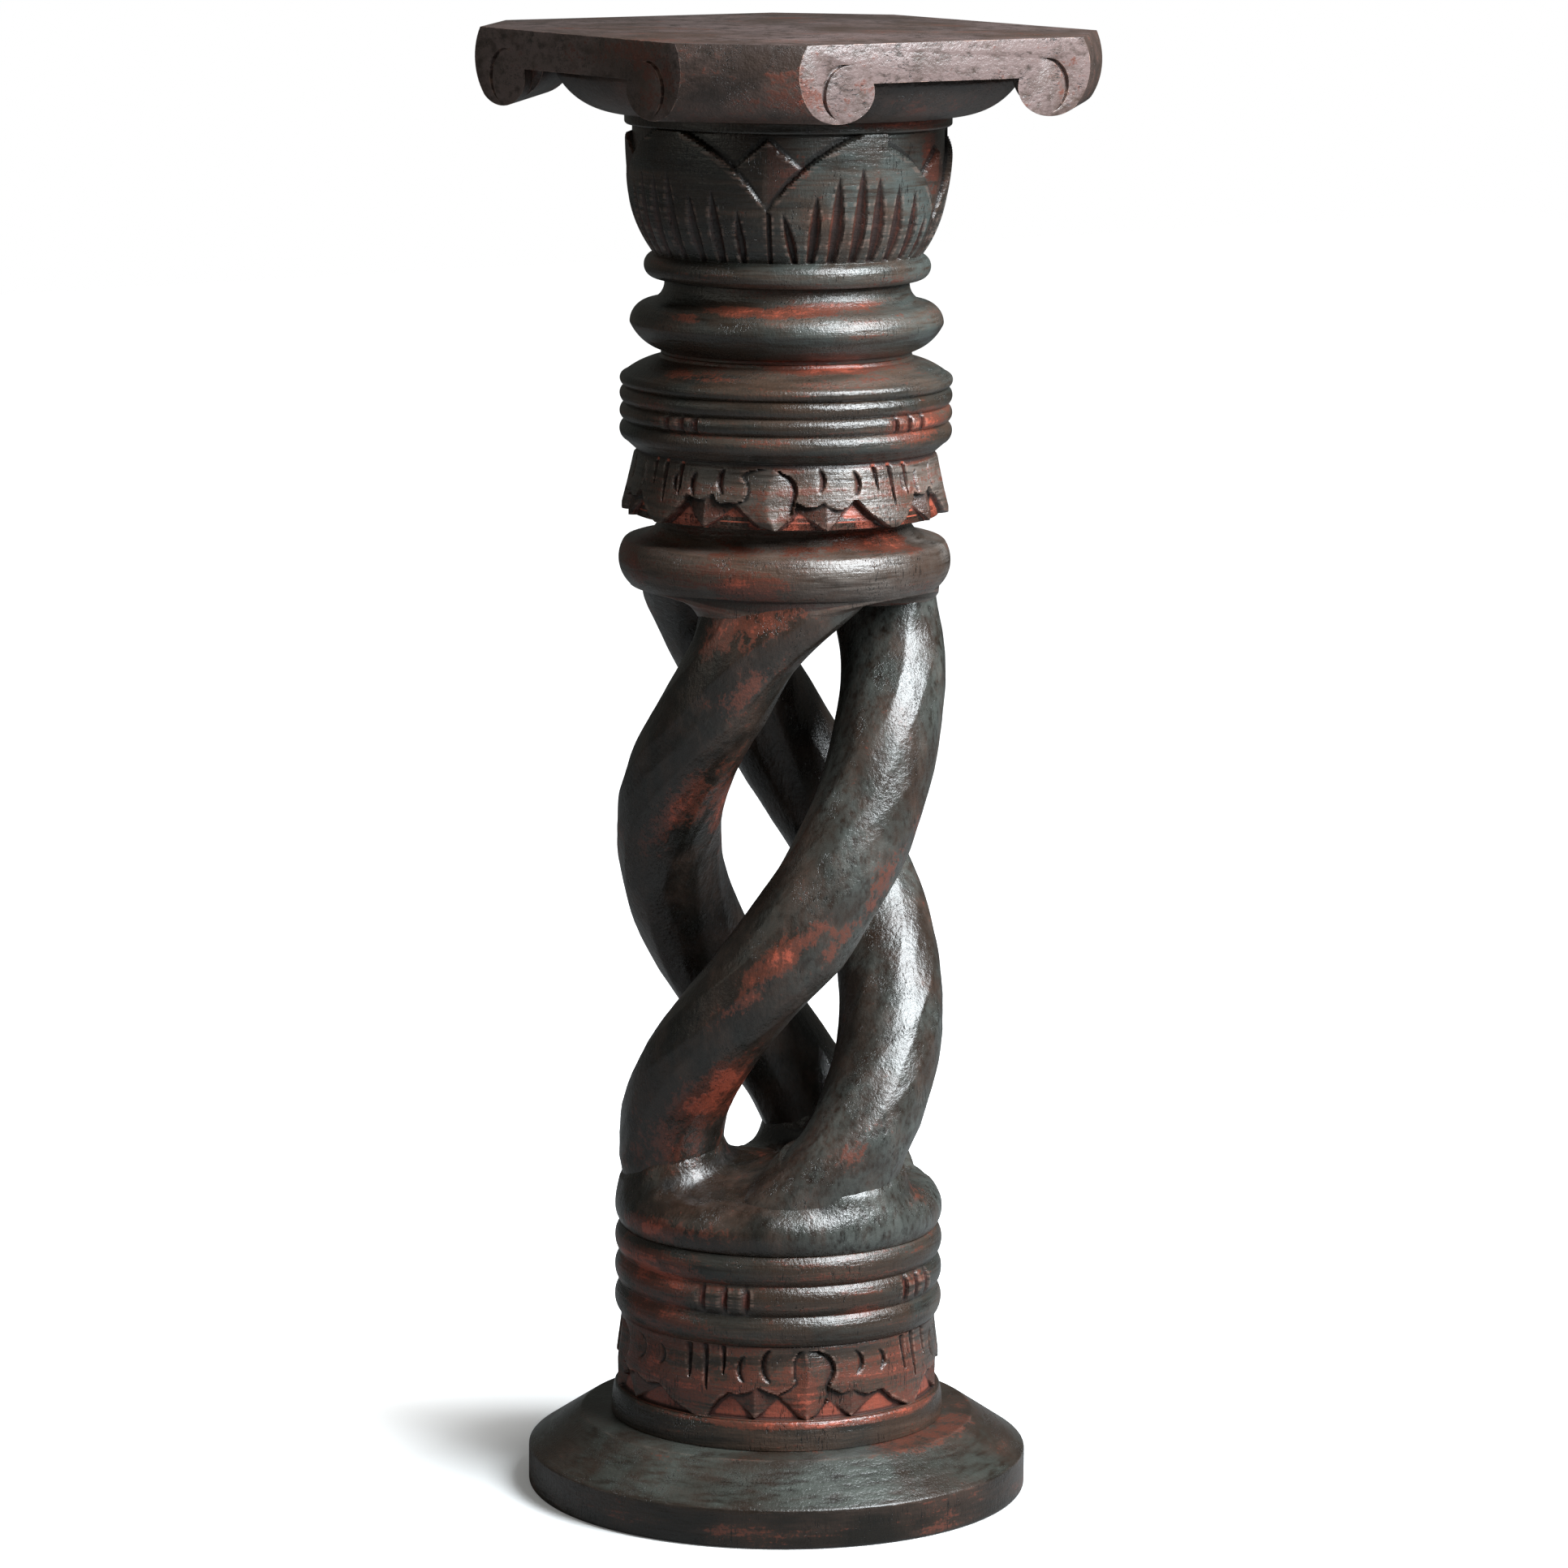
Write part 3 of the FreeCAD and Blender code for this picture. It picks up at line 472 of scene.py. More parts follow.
def friezeDepth(angle, height, frieze):
    # how deep the carving goes at each point, and how bare of stain it is there
    phase = friezePhase(angle, frieze["knots"])
    leaf = (phase + 45) % 90 - 45
    petal = phase % 90 - 45
    perDegree = 1.72  # millimetres to a degree of turn
    frontEdge = np.interp(leaf, [p[0] for p in frieze["front"]], [p[1] for p in frieze["front"]])
    front = ramp(height - frontEdge, -0.5, 0.5)

    small = np.zeros_like(angle)
    smallDepth = np.full_like(angle, float(frieze["groundDepth"]))
    for left, leftZ, tip, tipZ, right, rightZ in frieze["small"]:
        edge = np.interp(leaf, [left, tip, right], [leftZ, tipZ, rightZ])
        within = (leaf > left) & (leaf < right)
        fall = np.abs(leaf - tip) * perDegree * frieze["smallSlope"]
        depth = np.minimum(frieze["smallRidge"] + fall, frieze["groundDepth"] - 0.4)
        smallDepth = np.where(within, depth, smallDepth)
        small = np.maximum(small, ramp(height - edge, -0.4, 0.4) * within)
    behind = frieze["groundDepth"] * (1 - small) + smallDepth * small

    # the ridged leaf: two facets that fall from its ridge to its borders
    levels, lefts, rights, ridges = (np.array(row, dtype=float) for row in zip(*frieze["leafShape"]))
    leftBorder = np.interp(height, levels, lefts)
    rightBorder = np.interp(height, levels, rights)
    ridge = np.interp(height, levels, ridges)
    onLeaf = (leaf > leftBorder) & (leaf < rightBorder) & (height > levels[0]) & (height < levels[-1])
    slope = np.where(leaf > ridge, (leaf - ridge) / (rightBorder - ridge + 0.01),
                     (ridge - leaf) / (ridge - leftBorder + 0.01))
    leafDepth = unit(slope) * np.where(leaf > ridge, frieze["leafRight"], frieze["leafLeft"])
    lobeDepth = frieze["lobeDepth"]
    face = np.where(onLeaf, leafDepth, lobeDepth)

    cuts = np.zeros_like(angle)
    for place, z, side, scale in frieze["crescents"]:
        size = {key: number * scale for key, number in frieze["cut"].items()}
        size["span"] = frieze["cut"]["span"]
        for wrap in (-90, 0, 90):
            if abs(place + wrap) < 60:
                centre = ((place + wrap) * perDegree, z)
                cuts = np.maximum(cuts, crescent(leaf * perDegree, height, centre, side, size))
    for topPlace, topZ, lowPlace, lowZ in frieze["slits"]:
        share = unit((topZ - height) / (topZ - lowZ))
        middle = topPlace + (lowPlace - topPlace) * share
        half = frieze["slitWidth"] / 2 * (1 - share) ** 0.5 + 0.15
        gap = np.abs(petal - middle) * perDegree
        within = (height > lowZ) & (height < topZ + 1)
        cuts = np.maximum(cuts, unit(1 - gap / half) * frieze["slitDepth"] * within)
    face = np.maximum(face, cuts + lobeDepth * 0.5)
    top = ramp(height, frieze["top"] - 0.6, frieze["top"] + 0.4)
    face = face * (1 - top) + frieze["filletDepth"] * top
    depth = face * front + behind * (1 - front)
    bare = unit((1 - front) * (1.0 - 0.6 * small) + top * 0.4 + ramp(cuts, 0.6, 1.8) * 0.7)
    return depth, bare


bandFrieze = {
    "knots": [(-125, -135), (-80, -90), (-26, -45), (10.5, 0), (58, 45), (100, 90), (145, 135),
              (190, 180), (235, 225)],
    "front": [(-45, 63.5), (-42, 70), (-39.2, 75.1), (-34.2, 80.8), (-31, 79.8), (-26, 81.2),
              (-21.2, 84.8), (-17, 82), (-13.3, 80.4), (-12.8, 80), (-7.4, 73), (-3.5, 66.5),
              (0, 64), (2.6, 64.4), (4.2, 68), (7.6, 76), (8.2, 83.5), (12.1, 79.7), (16.7, 81.6),
              (19, 79), (22.4, 77.3), (28.1, 79.2), (33.4, 71), (40.6, 64.7), (45, 63.5)],
    "small": [(-33, 78, -22.6, 65.2, -12.3, 78), (8, 76, 15.9, 64.6, 27, 77)],
    "leafShape": [(64, -1, 1, 0), (66.5, -3.5, 3.6, 0), (73, -7.4, 6.4, 0), (80, -12.8, 8.2, -0.6),
                  (84.4, -7.5, 7.7, -0.2), (87, -5, 8.4, 0.2), (94, -6, 10.3, 0.8),
                  (101, -5.4, 8.8, 0.3), (104.5, -4, 6.6, -0.2), (107, -3, 4.2, -0.3)],
    "crescents": [(20.6, 98, 1, 0.9), (29.8, 97.5, 1, 0.8), (-20, 98, -1, 1.25),
                  (-30.5, 95.5, -1, 1.0), (9.9, 95, 1, 1.3)],
    "cut": {"radius": 8.4, "span": 76, "width": 4.2, "depth": 3.0},
    "slits": [(-6.2, 107.4, -5.6, 87.3), (-0.6, 108.3, 0.3, 80.6), (7.8, 109, 8.2, 91.6)],
    "slitWidth": 5.2, "slitDepth": 2.8,
    "smallRidge": 0.8, "smallSlope": 0.26, "groundDepth": 3.6,
    "leafLeft": 2.4, "leafRight": 3.6, "lobeDepth": 0.3,
    "top": 109.2, "filletDepth": 0.5,
    # the wide zone at -60 degrees is partly painted light: its red-brown rub lightens the left side as fill
    # light would
    "zones": [(-15, 85, 45, 30, 0.5), (10, 80, 9, 25, 0.6), (55, 95, 20, 20, 0.45),
              (-60, 90, 40, 40, 0.5)],
}
piece = turnPiece("lotusBandCarved", [
    (bore, 0), (100.2, 0), (100.2, 20.7), (97.5, 41.4), (97.5, 46), (bore, 46),
], 64, 704, spacing=0.9, soften=0.4, hidden=90)
points, angle, radius, height = readColumn(piece)
skin = np.interp(height, [64, 84.7, 105.4, 110], [100.2, 100.2, 97.5, 97.5]) - 1.5
depth, bare = friezeDepth(angle, height, bandFrieze)
outer = (radius > skin) * ramp(height, 64.2, 65)
points[:, :2] *= ((radius - depth * outer + ripple(angle, height, 5, 60) * 0.15 * outer) / radius)[:, None]
writePoints(piece, points)
markEdgeWearAndHollowShade(piece, 8)
setAttribute(piece, "bare", bare * outer * 0.75)
# painted sheen: grey on the carved faces to the right, towards the key light
setAttribute(piece, "dustAndPaintedSheen", (1 - bare) * outer * 0.2 * ramp(angle, 0, 40))
setAttribute(piece, "rub", rubbedZones(angle, height, bandFrieze["zones"], 0.34))
finishPiece(piece, "lotus_band", paleWood)

petalFrieze = {
    "knots": [(-136, -135), (-92, -90), (-50, -45), (-4, 0), (42.3, 45), (88, 90), (134, 135),
              (180, 180), (224, 225)],
    "front": [(-45, 607.8), (-42.8, 609.5), (-39, 614.5), (-34.2, 623.7), (-33.4, 627.5),
              (-30, 625.6), (-26.5, 625.2), (-22.3, 629.3), (-21, 625), (-19.2, 623.5),
              (-16.5, 624.2), (-14.5, 623.9), (-9.7, 617), (-4.8, 610.6), (1, 608.2), (5.3, 614.3),
              (7.1, 619), (7.8, 625), (11.6, 622.2), (15, 622.8), (17.3, 624.9), (20, 621.8),
              (23, 620.5), (26, 621.8), (28.3, 625.5), (29.8, 626), (35.1, 616.9), (42.7, 608.5),
              (45, 607.8)],
    "small": [(-35, 623, -25, 608.8, -13.5, 623), (6.5, 621.5, 18.6, 608, 29, 625)],
    "leafShape": [(607, 0, 2, 1), (610.6, -4.8, 3, 0), (617, -9.7, 6.5, -2), (624, -14.5, 7, -3),
                  (626, -10.9, 7.2, -3), (631, -9.6, 7.9, -2.5), (636, -10.5, 7.3, -2),
                  (640, -12, 5.6, -0.5), (643, -10, 2.5, 1), (644.5, -6, 0.5, 0)],
    "crescents": [(18.2, 637.9, 1, 1.0), (31.5, 635.8, 1, 1.05), (-21, 636.6, -1, 1.1),
                  (-32.3, 634, -1, 1.0), (-40, 634.5, -1, 0.8), (7.9, 632, 1, 1.3)],
    "cut": {"radius": 8, "span": 64, "width": 3.8, "depth": 3.2},
    "slits": [(-7.2, 646, -6.3, 631.8), (-0.2, 646, 0.9, 621.5), (7.9, 645, 8, 627.2)],
    "slitWidth": 4.4, "slitDepth": 3.2,
    "smallRidge": 1.4, "smallSlope": 0.36, "groundDepth": 6.5,
    "leafLeft": 3.0, "leafRight": 4.2, "lobeDepth": 0.4,
    "top": 645, "filletDepth": 1.2,
    "zones": [(-10, 628, 6, 14, 0.5), (-28, 618, 9, 9, 0.5), (45, 646, 45, 4, 0.6),
              (2, 646, 12, 4, 0.45)],
}
piece = turnPiece("petalCollarCarved", [
    (bore, 0), (76, 0), (76, 12.8), ("via", 84.3, 15), (89.6, 12.8), (95.6, -1.6), (99.2, -1.2),
    (99.7, 0.4),
    (99.6, 3), (91.5, 38), (bore, 38),
], 610, 640, spacing=0.9, soften=0.4, hidden=85)
points, angle, radius, height = readColumn(piece)
skin = np.interp(height, [608, 613, 648], [99.6, 99.6, 91.5])
depth, bare = friezeDepth(angle, np.maximum(height, 608.8), petalFrieze)
outer = (radius > skin - 1.5) * (1 - ramp(height, 647, 648))
carved = skin - depth + ripple(angle, height, 9, 60) * 0.2
shown = np.where(radius > 88, np.minimum(radius, carved), radius)
points[:, :2] *= ((radius + (shown - radius) * (1 - ramp(height, 647, 648))) / radius)[:, None]
writePoints(piece, points)
markEdgeWearAndHollowShade(piece, 8)
setAttribute(piece, "bare", unit(bare) * outer)
# grey dust all round, with painted sheen heavier towards the right, where the key light falls
setAttribute(piece, "dustAndPaintedSheen", (1 - bare) * outer * (0.25 + 0.6 * ramp(angle, -15, 5)))
setAttribute(piece, "rub", rubbedZones(angle, height, petalFrieze["zones"], 0.26))
finishPiece(piece, "petal_collar", paleWood)
print("friezes carved")


# the twist's course
twist = {
    "low": 175.0, "high": 564.0, "pitch": 600, "levelAngle": -36.3, "levelHeight": 513, "lag": 6,
    "foot": 193, "circle": 67, "half": 32.5, "lean": 35, "flare": 0.26, "flareReach": 22, "drawIn": 5,
    "sides": 40, "levels": 60, "facetsAround": 13, "facetLength": 60, "facetDepth": 0.8, "chipDepth": 0.28,
    # how each strand strays from the even twist: (height, degrees ahead, outward, width)
    "habits": [
        [(175, 0, -5, 1), (190, 0, -3, 1), (206, 0, 0, 1), (240, -2.5, 0, 1), (285, -1.2, 0, 1),
         (310, 1.2, 0, 1), (340, 5, 0, 1.04), (400, 4, 0, 1), (437, 2.4, 0, 1), (486, -2.5, 0, 1.02),
         (510, -2.5, 0, 1.04), (564, 0, 0, 1.04)],
        [(175, 2, -7, 1), (200, 3, -6, 1), (235, 3.5, 0, 1), (290, 2.2, 1, 1), (330, 0, 1, 1),
         (376, -1, 0, 1), (430, 0, 0, 1), (500, -3, -1, 1), (564, -2, -4, 1)],
        [(175, 0, -6, 1), (200, 0, -4, 1), (235, 0, 0, 1), (350, -1.5, 1.5, 1), (400, -4, 2.5, 1),
         (437, -4, 2, 1), (462, -3, 1, 1), (486, -1, 0, 0.97), (520, -1.5, 0, 0.9), (564, 1, 0, 1)],
    ],
}


def strandAngle(height):
    share = unit((height - twist["low"]) / (twist["high"] - twist["low"]))
    lag = twist["lag"] * np.sin(math.pi * share)
    return 360 * (height - twist["levelHeight"]) / twist["pitch"] + twist["levelAngle"] + lag


def strandFillet(points, level, circle, rise, reach):
    # how far a seat at this level is drawn out along the strands that grow from it, as a hollow
    # that follows each one's lean; a negative rise draws it down
    total = np.zeros(len(points))
    for share in np.linspace(0.06, 1, 24):
        height = level + rise * share
        near = math.exp(-((twist["high"] - height) / twist["flareReach"]) ** 2)
        near += math.exp(-((height - twist["foot"]) / twist["flareReach"]) ** 2)
        wide = twist["half"] / math.cos(math.radians(twist["lean"])) * (1 + twist["flare"] * near)
        for number, habits in enumerate(twist["habits"]):
            levels, ahead, outwards, _ = zip(*habits)
            turn = float(strandAngle(height) + np.interp(height, levels, ahead))
            turn = math.radians(turn + 120 * number)
            centre = circle + np.interp(height, levels, outwards)
            outward = points[:, 0] * math.cos(turn) + points[:, 1] * math.sin(turn) - centre
            sideways = points[:, 1] * math.cos(turn) - points[:, 0] * math.sin(turn)
            away = (np.hypot(outward / twist["half"], sideways / wide) - 0.97) * 36
            total = np.maximum(total, share * np.exp(-np.clip(away, 0, None) / reach))
    return total * rise


# the grey share on the strands and the drum cap: painted sheen, heavy on the right side towards the key
# light, with a little dust elsewhere
def strandPaintedSheenAndDust(angle):
    return 0.02 + 0.6 * ramp(angle, -12, 30) * (1 - ramp(angle, 120, 150))


# the plain and reeded turnings
def cutNotches(angle, height, notches):
    # short gouge cuts across one reed, sloping in from the left to a steep wall on the right
    perDegree = 1.76  # millimetres to a degree of turn
    depth = np.zeros_like(angle)
    for place in notches["places"]:
        gap = (angle - place) * perDegree / notches["width"]
        cut = np.where(gap < 0.25, 1 + (gap - 0.25) / 0.75, 1 - (gap - 0.25) / 0.25)
        level = np.abs(height - notches["height"]) / (notches["length"] / 2)
        depth = np.maximum(depth, unit(cut) * unit(1.5 - level))
    return depth


def finishTurning(piece, node, material, look):
    # hand turning is never quite round; notches, worn patches, and grey dust with a painted sheen
    # heavier on the right, towards the key light, are laid over it
    points, angle, radius, height = readColumn(piece)
    outer = ramp(radius, 60, 70)
    shift = ripple(angle, height, look["seed"], 70) * look.get("wobble", 0.25)
    shift += ripple(angle, height, look["seed"] + 1, 16) * 0.07
    marks = cutNotches(angle, height, look["notches"]) if "notches" in look else np.zeros_like(angle)
    depth = look["notches"]["depth"] if "notches" in look else 0
    points[:, :2] *= ((radius + (shift - marks * depth) * outer) / np.maximum(radius, 1))[:, None]
    writePoints(piece, points)
    markEdgeWearAndHollowShade(piece, 6)
    setAttribute(piece, "bare", unit(marks * 1.3))
    setAttribute(piece, "rub", rubbedZones(angle, height, look["zones"], look["rub"]))
    # painted sheen: more of the grey share on the right side, towards the key light
    setAttribute(piece, "dustAndPaintedSheen", look.get("dustAndPaintedSheen", 0.3) * (0.4 + 0.6 * ramp(angle, -40, 30)))
    finishPiece(piece, node, material)


drum = {"radius": 101.2, "groove": 3.6, "height": 56}
outline = [(bore, 0)]
for ring in range(3):
    outline += [(drum["radius"] - drum["groove"], drum["height"] * ring / 3),
                ("via", drum["radius"], drum["height"] * (ring + 0.5) / 3)]
outline += [(drum["radius"] - drum["groove"], drum["height"]), (bore, drum["height"])]
piece = turnPiece("drumReeded", outline, 110, 480, spacing=1.2, soften=0.35)
finishTurning(piece, "reeded_drum", columnWood, {
    "seed": 11, "rub": 0.22,
    "notches": {"places": (-27.6, -19.3, -11.5, 51, 58, 65), "height": 138.5, "length": 13,
                "width": 6.2, "depth": 3.5},
    # the wide zone at -60 degrees is partly painted light: its red-brown rub lightens the left side as fill
    # light would
    "zones": [(-50, 150, 36, 16, 0.85), (-50, 125, 30, 16, 0.7), (30, 130, 14, 5, 0.5),
              (60, 140, 14, 12, 0.5), (-60, 138, 50, 60, 0.5)]})

collar = {"reed": 101, "groove": 3.2, "pitch": 10.4, "first": 16.6, "height": 57, "bead": 8}
low = collar["reed"] - collar["groove"]
outline = [(bore, 0), (92, 0), (97.2, 4.6), ("via", collar["reed"], 10.6)]
for reed in range(2):
    start = collar["first"] + collar["pitch"] * reed
    outline += [(low, start), ("via", collar["reed"], start + collar["pitch"] / 2)]
beadStart = collar["first"] + collar["pitch"] * 2
outline += [(low, beadStart), ("via", collar["reed"], beadStart + collar["bead"] * 0.45),
            (low, beadStart + collar["bead"]), ("via", 89.5, 50.6), (77, 54.6),
            (76, collar["height"]),
            (bore, collar["height"])]
piece = turnPiece("collarReeded", outline, 648, 480, spacing=1.2, soften=0.35)
finishTurning(piece, "reeded_collar", columnWood, {
    "seed": 13, "rub": 0.18,
    "notches": {"places": (-45.5, -38.8, -33.2, 40.5, 47.5, 54), "height": 669.8, "length": 8,
                "width": 6.0, "depth": 3.3},
    "zones": [(52, 668, 22, 14, 0.6), (24, 704, 30, 3.5, 0.85), (-35, 697, 22, 4, 0.5),
              (-40, 668, 14, 9, 0.5), (20, 652, 50, 5, 0.35)]})

piece = turnPiece("torusTurned", [
    (bore, 0), (76, 0), (76, 2.2), ("via", 88.9, 9.7), (95, 18.5), ("via", 92.9, 25.9), (86, 31.2),
    ("via", 77.8, 34.4), (74.2, 41), (74, 45), (bore, 45),
], 705, 480, spacing=1.3, soften=0.4)
finishTurning(piece, "torus_section", columnWood, {
    "seed": 17, "rub": 0.15, "dustAndPaintedSheen": 0.6,
    "zones": [(-10, 737, 40, 3.5, 0.75), (-40, 732, 12, 4, 0.6), (30, 740, 30, 4, 0.5),
              (0, 707, 40, 2.5, 0.5)]})

piece = turnPiece("upperDiscTurned", [
    (bore, 8), (0, 8), (0, 0), (93.5, 0), ("via", 101, 13.4), (98, 27), (96.8, 28), (90, 29.5),
    ("via", 80.2, 33.7), (76, 43.5), (76, 46), (bore, 46),
], 564, 480, spacing=1.4, soften=0.4, hidden=25)
points = readPoints(piece)
under = (points[:, 2] < 564.6) & (np.hypot(points[:, 0], points[:, 1]) > 8)
points[:, 2] += strandFillet(points, 564, twist["circle"] - twist["drawIn"], -12, 5) * under
writePoints(piece, points)
finishTurning(piece, "upper_disc", paleWood, {
    "seed": 19, "wobble": 0.35, "rub": 0.2, "dustAndPaintedSheen": 1.0,
    "zones": [(-12, 574, 20, 9, 0.6), (-65, 572, 14, 10, 0.5), (45, 600, 25, 9, 0.85),
              (10, 596, 40, 3, 0.4)]})

piece = turnPiece("neckRingTurned", [
    (bore, 0), (97.8, 0), (98.8, 1), (98.8, 7), (bore, 7),
], 843, 480, spacing=1.2, soften=0.4)
finishTurning(piece, "neck_ring", columnWood, {
    "seed": 23, "rub": 0.1, "zones": [(40, 848, 25, 4, 0.6)]})

piece = turnPiece("bearerBowlTurned", [
    (bore, 19), (0, 19), (0, 27), (139.6, 27), (140, 26.6), (140, 23), ("via", 127.5, 8.3), (101, 0),
    (bore, 0),
], 850, 480, spacing=1.8, soften=0.6)
finishTurning(piece, "bearer_bowl", topWood, {
    "seed": 29, "rub": 0.05, "dustAndPaintedSheen": 0.0, "zones": [(40, 862, 25, 8, 0.4)]})
print("turnings made")


# the capital
capital = {
    # each notch between two leaves: its angle, the height of its point, and how far its two sides
    # spread, left and right
    "notches": [(-86, 795, 1.0, 0.9), (-7.4, 796.3, 0.95, 1.0), (68, 788, 0.85, 0.95),
                (140, 797, 1.0, 1.0), (207, 794, 1.0, 0.95)],
    "sideGap": [0, 3, 7, 12, 17, 23, 28, 33, 37],
    "sideRise": [0, 7.5, 15.5, 24, 31, 37.5, 42, 45.5, 48],
    "kiteHalf": 12.2, "kiteWaist": 26, "kiteTop": 43,
    "behindDepth": 5.2, "kiteRidge": 0.9, "kiteFall": 3.2,
    # the flutes of a leaf: where each one's tip and foot lie from its left notch to its right one,
    # in shares, and its tip's height; the leaves take the two patterns in turn
    "patterns": [
        [(0.075, 0.14, 797.4), (0.235, 0.225, 809), (0.34, 0.34, 820), (0.455, 0.465, 826.6),
         (0.545, 0.58, 820), (0.665, 0.70, 814.4), (0.78, 0.82, 810), (0.895, 0.93, 795)],
        [(0.10, 0.07, 800), (0.2, 0.16, 812), (0.295, 0.25, 820.3), (0.40, 0.36, 820),
         (0.495, 0.49, 821), (0.62, 0.62, 808), (0.74, 0.745, 810.3), (0.86, 0.865, 798.6)],
    ],
    "fluteLow": 765.5, "fluteHalf": 5.2, "fluteDepth": 3.7, "fluteRadius": 92, "leafFoot": 765.6,
    "zones": [(-20, 785, 12, 20, 0.35), (1, 820, 8, 12, 0.4), (65, 825, 7, 22, 0.7),
              (-35, 758, 30, 6, 0.3), (5, 825, 4, 10, 0.6)],
}


def carveCapital(angle, height):
    perDegree = 1.6  # millimetres to a degree of turn
    depth = np.zeros_like(angle)
    bare = np.zeros_like(angle)
    notches = capital["notches"]
    for place, point, leftSpread, rightSpread in notches:
        offset = shortWay(angle - place)
        reach = np.abs(offset) / np.where(offset < 0, leftSpread, rightSpread)
        edge = point + np.interp(reach, capital["sideGap"], capital["sideRise"])
        behind = ramp(height - edge, -0.2, 0.9) * (reach < capital["sideGap"][-1])
        # the kite that fills the notch, with an upright ridge
        rise = height - point
        waist = capital["kiteWaist"]
        halfWidth = np.where(rise < waist, rise / waist,
                             (capital["kiteTop"] - rise) / (capital["kiteTop"] - waist))
        inKite = ramp(halfWidth * capital["kiteHalf"] - np.abs(offset), -0.4, 0.4)
        lean = unit(np.abs(offset + 1.2) / capital["kiteHalf"])
        kite = capital["kiteRidge"] + lean * capital["kiteFall"]
        recess = capital["behindDepth"] * (1 - inKite) + kite * inKite
        depth = np.maximum(depth, recess * behind)
        bare = np.maximum(bare, behind * (0.1 + 0.3 * inKite * (offset > 0)))
        # the groove that runs down from the notch's point
        gap = np.abs(offset - 0.5) * perDegree
        down = (height > capital["fluteLow"]) & (height < point + 1)
        groove = unit(1 - (gap / 1.8) ** 2) * 2.0 * down
        depth = np.maximum(depth, groove)
        bare = np.maximum(bare, ramp(groove, 0.4, 1.5) * 0.5)
    low = capital["fluteLow"]
    for number, (place, point, _, _) in enumerate(notches):
        width = (notches[(number + 1) % len(notches)][0] - place) % 360
        for tipShare, footShare, tip in capital["patterns"][(number + 1) % 2]:
            share = unit((height - low) / (tip - low))
            centre = place + width * (footShare + (tipShare - footShare) * share)
            offset = np.abs(shortWay(angle - centre)) * math.pi / 180 * capital["fluteRadius"]
            size = (1 - share ** 2.6) * (0.66 + 0.34 * ramp(share, 0, 0.4))
            half = capital["fluteHalf"] * size * min(1.0, (tip - 755) / 62)
            inside = (height > low) & (height < tip)
            cut = unit(1 - (offset / np.maximum(half, 0.05)) ** 2) * inside
            deep = cut * capital["fluteDepth"] * unit(size * 1.2)
            deep *= unit((height - low) / 1.2)
            depth = np.maximum(depth, deep)
            bare = np.maximum(bare, ramp(deep, 0.3, 1.4) * 0.6)
    return depth, bare


piece = turnPiece("capitalCarved", [
    (bore, 0), (75, 0), (75, 1.6), ("via", 86.8, 8.5), (81.5, 15.5), ("via", 90.5, 31), (95.9, 50),
    ("via", 98.7, 71.5), (99, 93), (bore, 93),
], 750, 600, spacing=1.4, soften=0.4, hidden=74)
points, angle, radius, height = readColumn(piece)
skin = np.interp(height, [750, 757, 765.5, 781, 800, 821.5, 843],
                 [70, 86.8, 81.5, 90.5, 95.9, 98.7, 99]) - 1.2
depth, bare = carveCapital(angle, height)
outer = (radius > skin) * (height > capital["leafFoot"])
shift = ripple(angle, height, 31, 50) * 0.25 * (radius > 60)
points[:, :2] *= ((radius - depth * outer + shift) / radius)[:, None]
writePoints(piece, points)
markEdgeWearAndHollowShade(piece, 8)
setAttribute(piece, "bare", bare * outer)
# painted sheen: the grey share on the right part of each leaf and on the bead's right side, towards the key
# light
rightLeaf = ramp((angle + 10) % 75, 4, 22)
paintedSheenAndDust = np.where(height > capital["leafFoot"], 0.1 + 0.9 * rightLeaf * (angle > -8),
               0.9 * ramp(angle, -30, 20))
setAttribute(piece, "dustAndPaintedSheen", (1 - unit(bare * 2)) * paintedSheenAndDust * (radius > 70))
setAttribute(piece, "rub", rubbedZones(angle, height, capital["zones"], 0.1))
finishPiece(piece, "capital", columnWood)
print("capital carved")


# the drum cap and the twist
piece = turnPiece("drumCapTurned", [
    (0, 0), (97.6, 0), ("via", 101.2, 9.7), (88, 27), ("via", 52.8, 36.6), (22, 42), (0, 43),
], 166, 480, spacing=1.4, soften=0.6, hidden=12)
points, angle, radius, height = readColumn(piece)
upper = ramp(height, 174, 186)
lobes = np.cos(np.radians(angle + facing - strandAngle(twist["foot"])) * 3)
swelling = lobes * 2.2 * ramp(radius, 5, 40) * (1 - ramp(radius, 78, 94))
tooled = (0.5 - scallops(angle / 9, radius / 14, 39, 40)) * 1.1
points[:, 2] += upper * (swelling + ripple(angle, radius, 37, 40) * 0.5 + tooled * ramp(radius, 15, 60)
                         + strandFillet(points, 198, twist["circle"], 17, 3.6) * ramp(radius, 12, 30)
                         * (1 - 0.5 * ramp(radius, 86, 97)))
shift = ripple(angle, height, 41, 70) * 0.25 + tooled * 0.25
points[:, :2] *= ((radius + shift * (radius > 60)) / np.maximum(radius, 0.1))[:, None]
writePoints(piece, points)
markEdgeWearAndHollowShade(piece, 8)
setAttribute(piece, "dustAndPaintedSheen", strandPaintedSheenAndDust(angle))
zones = [(-52, 176, 30, 7, 0.75), (-58, 228, 20, 34, 0.42), (70, 195, 15, 10, 0.4), (30, 225, 8, 20, 0.3)]
setAttribute(piece, "rub", rubbedZones(angle, height, zones, 0.05, 0.6))
finishPiece(piece, "drum_cap", capWood)


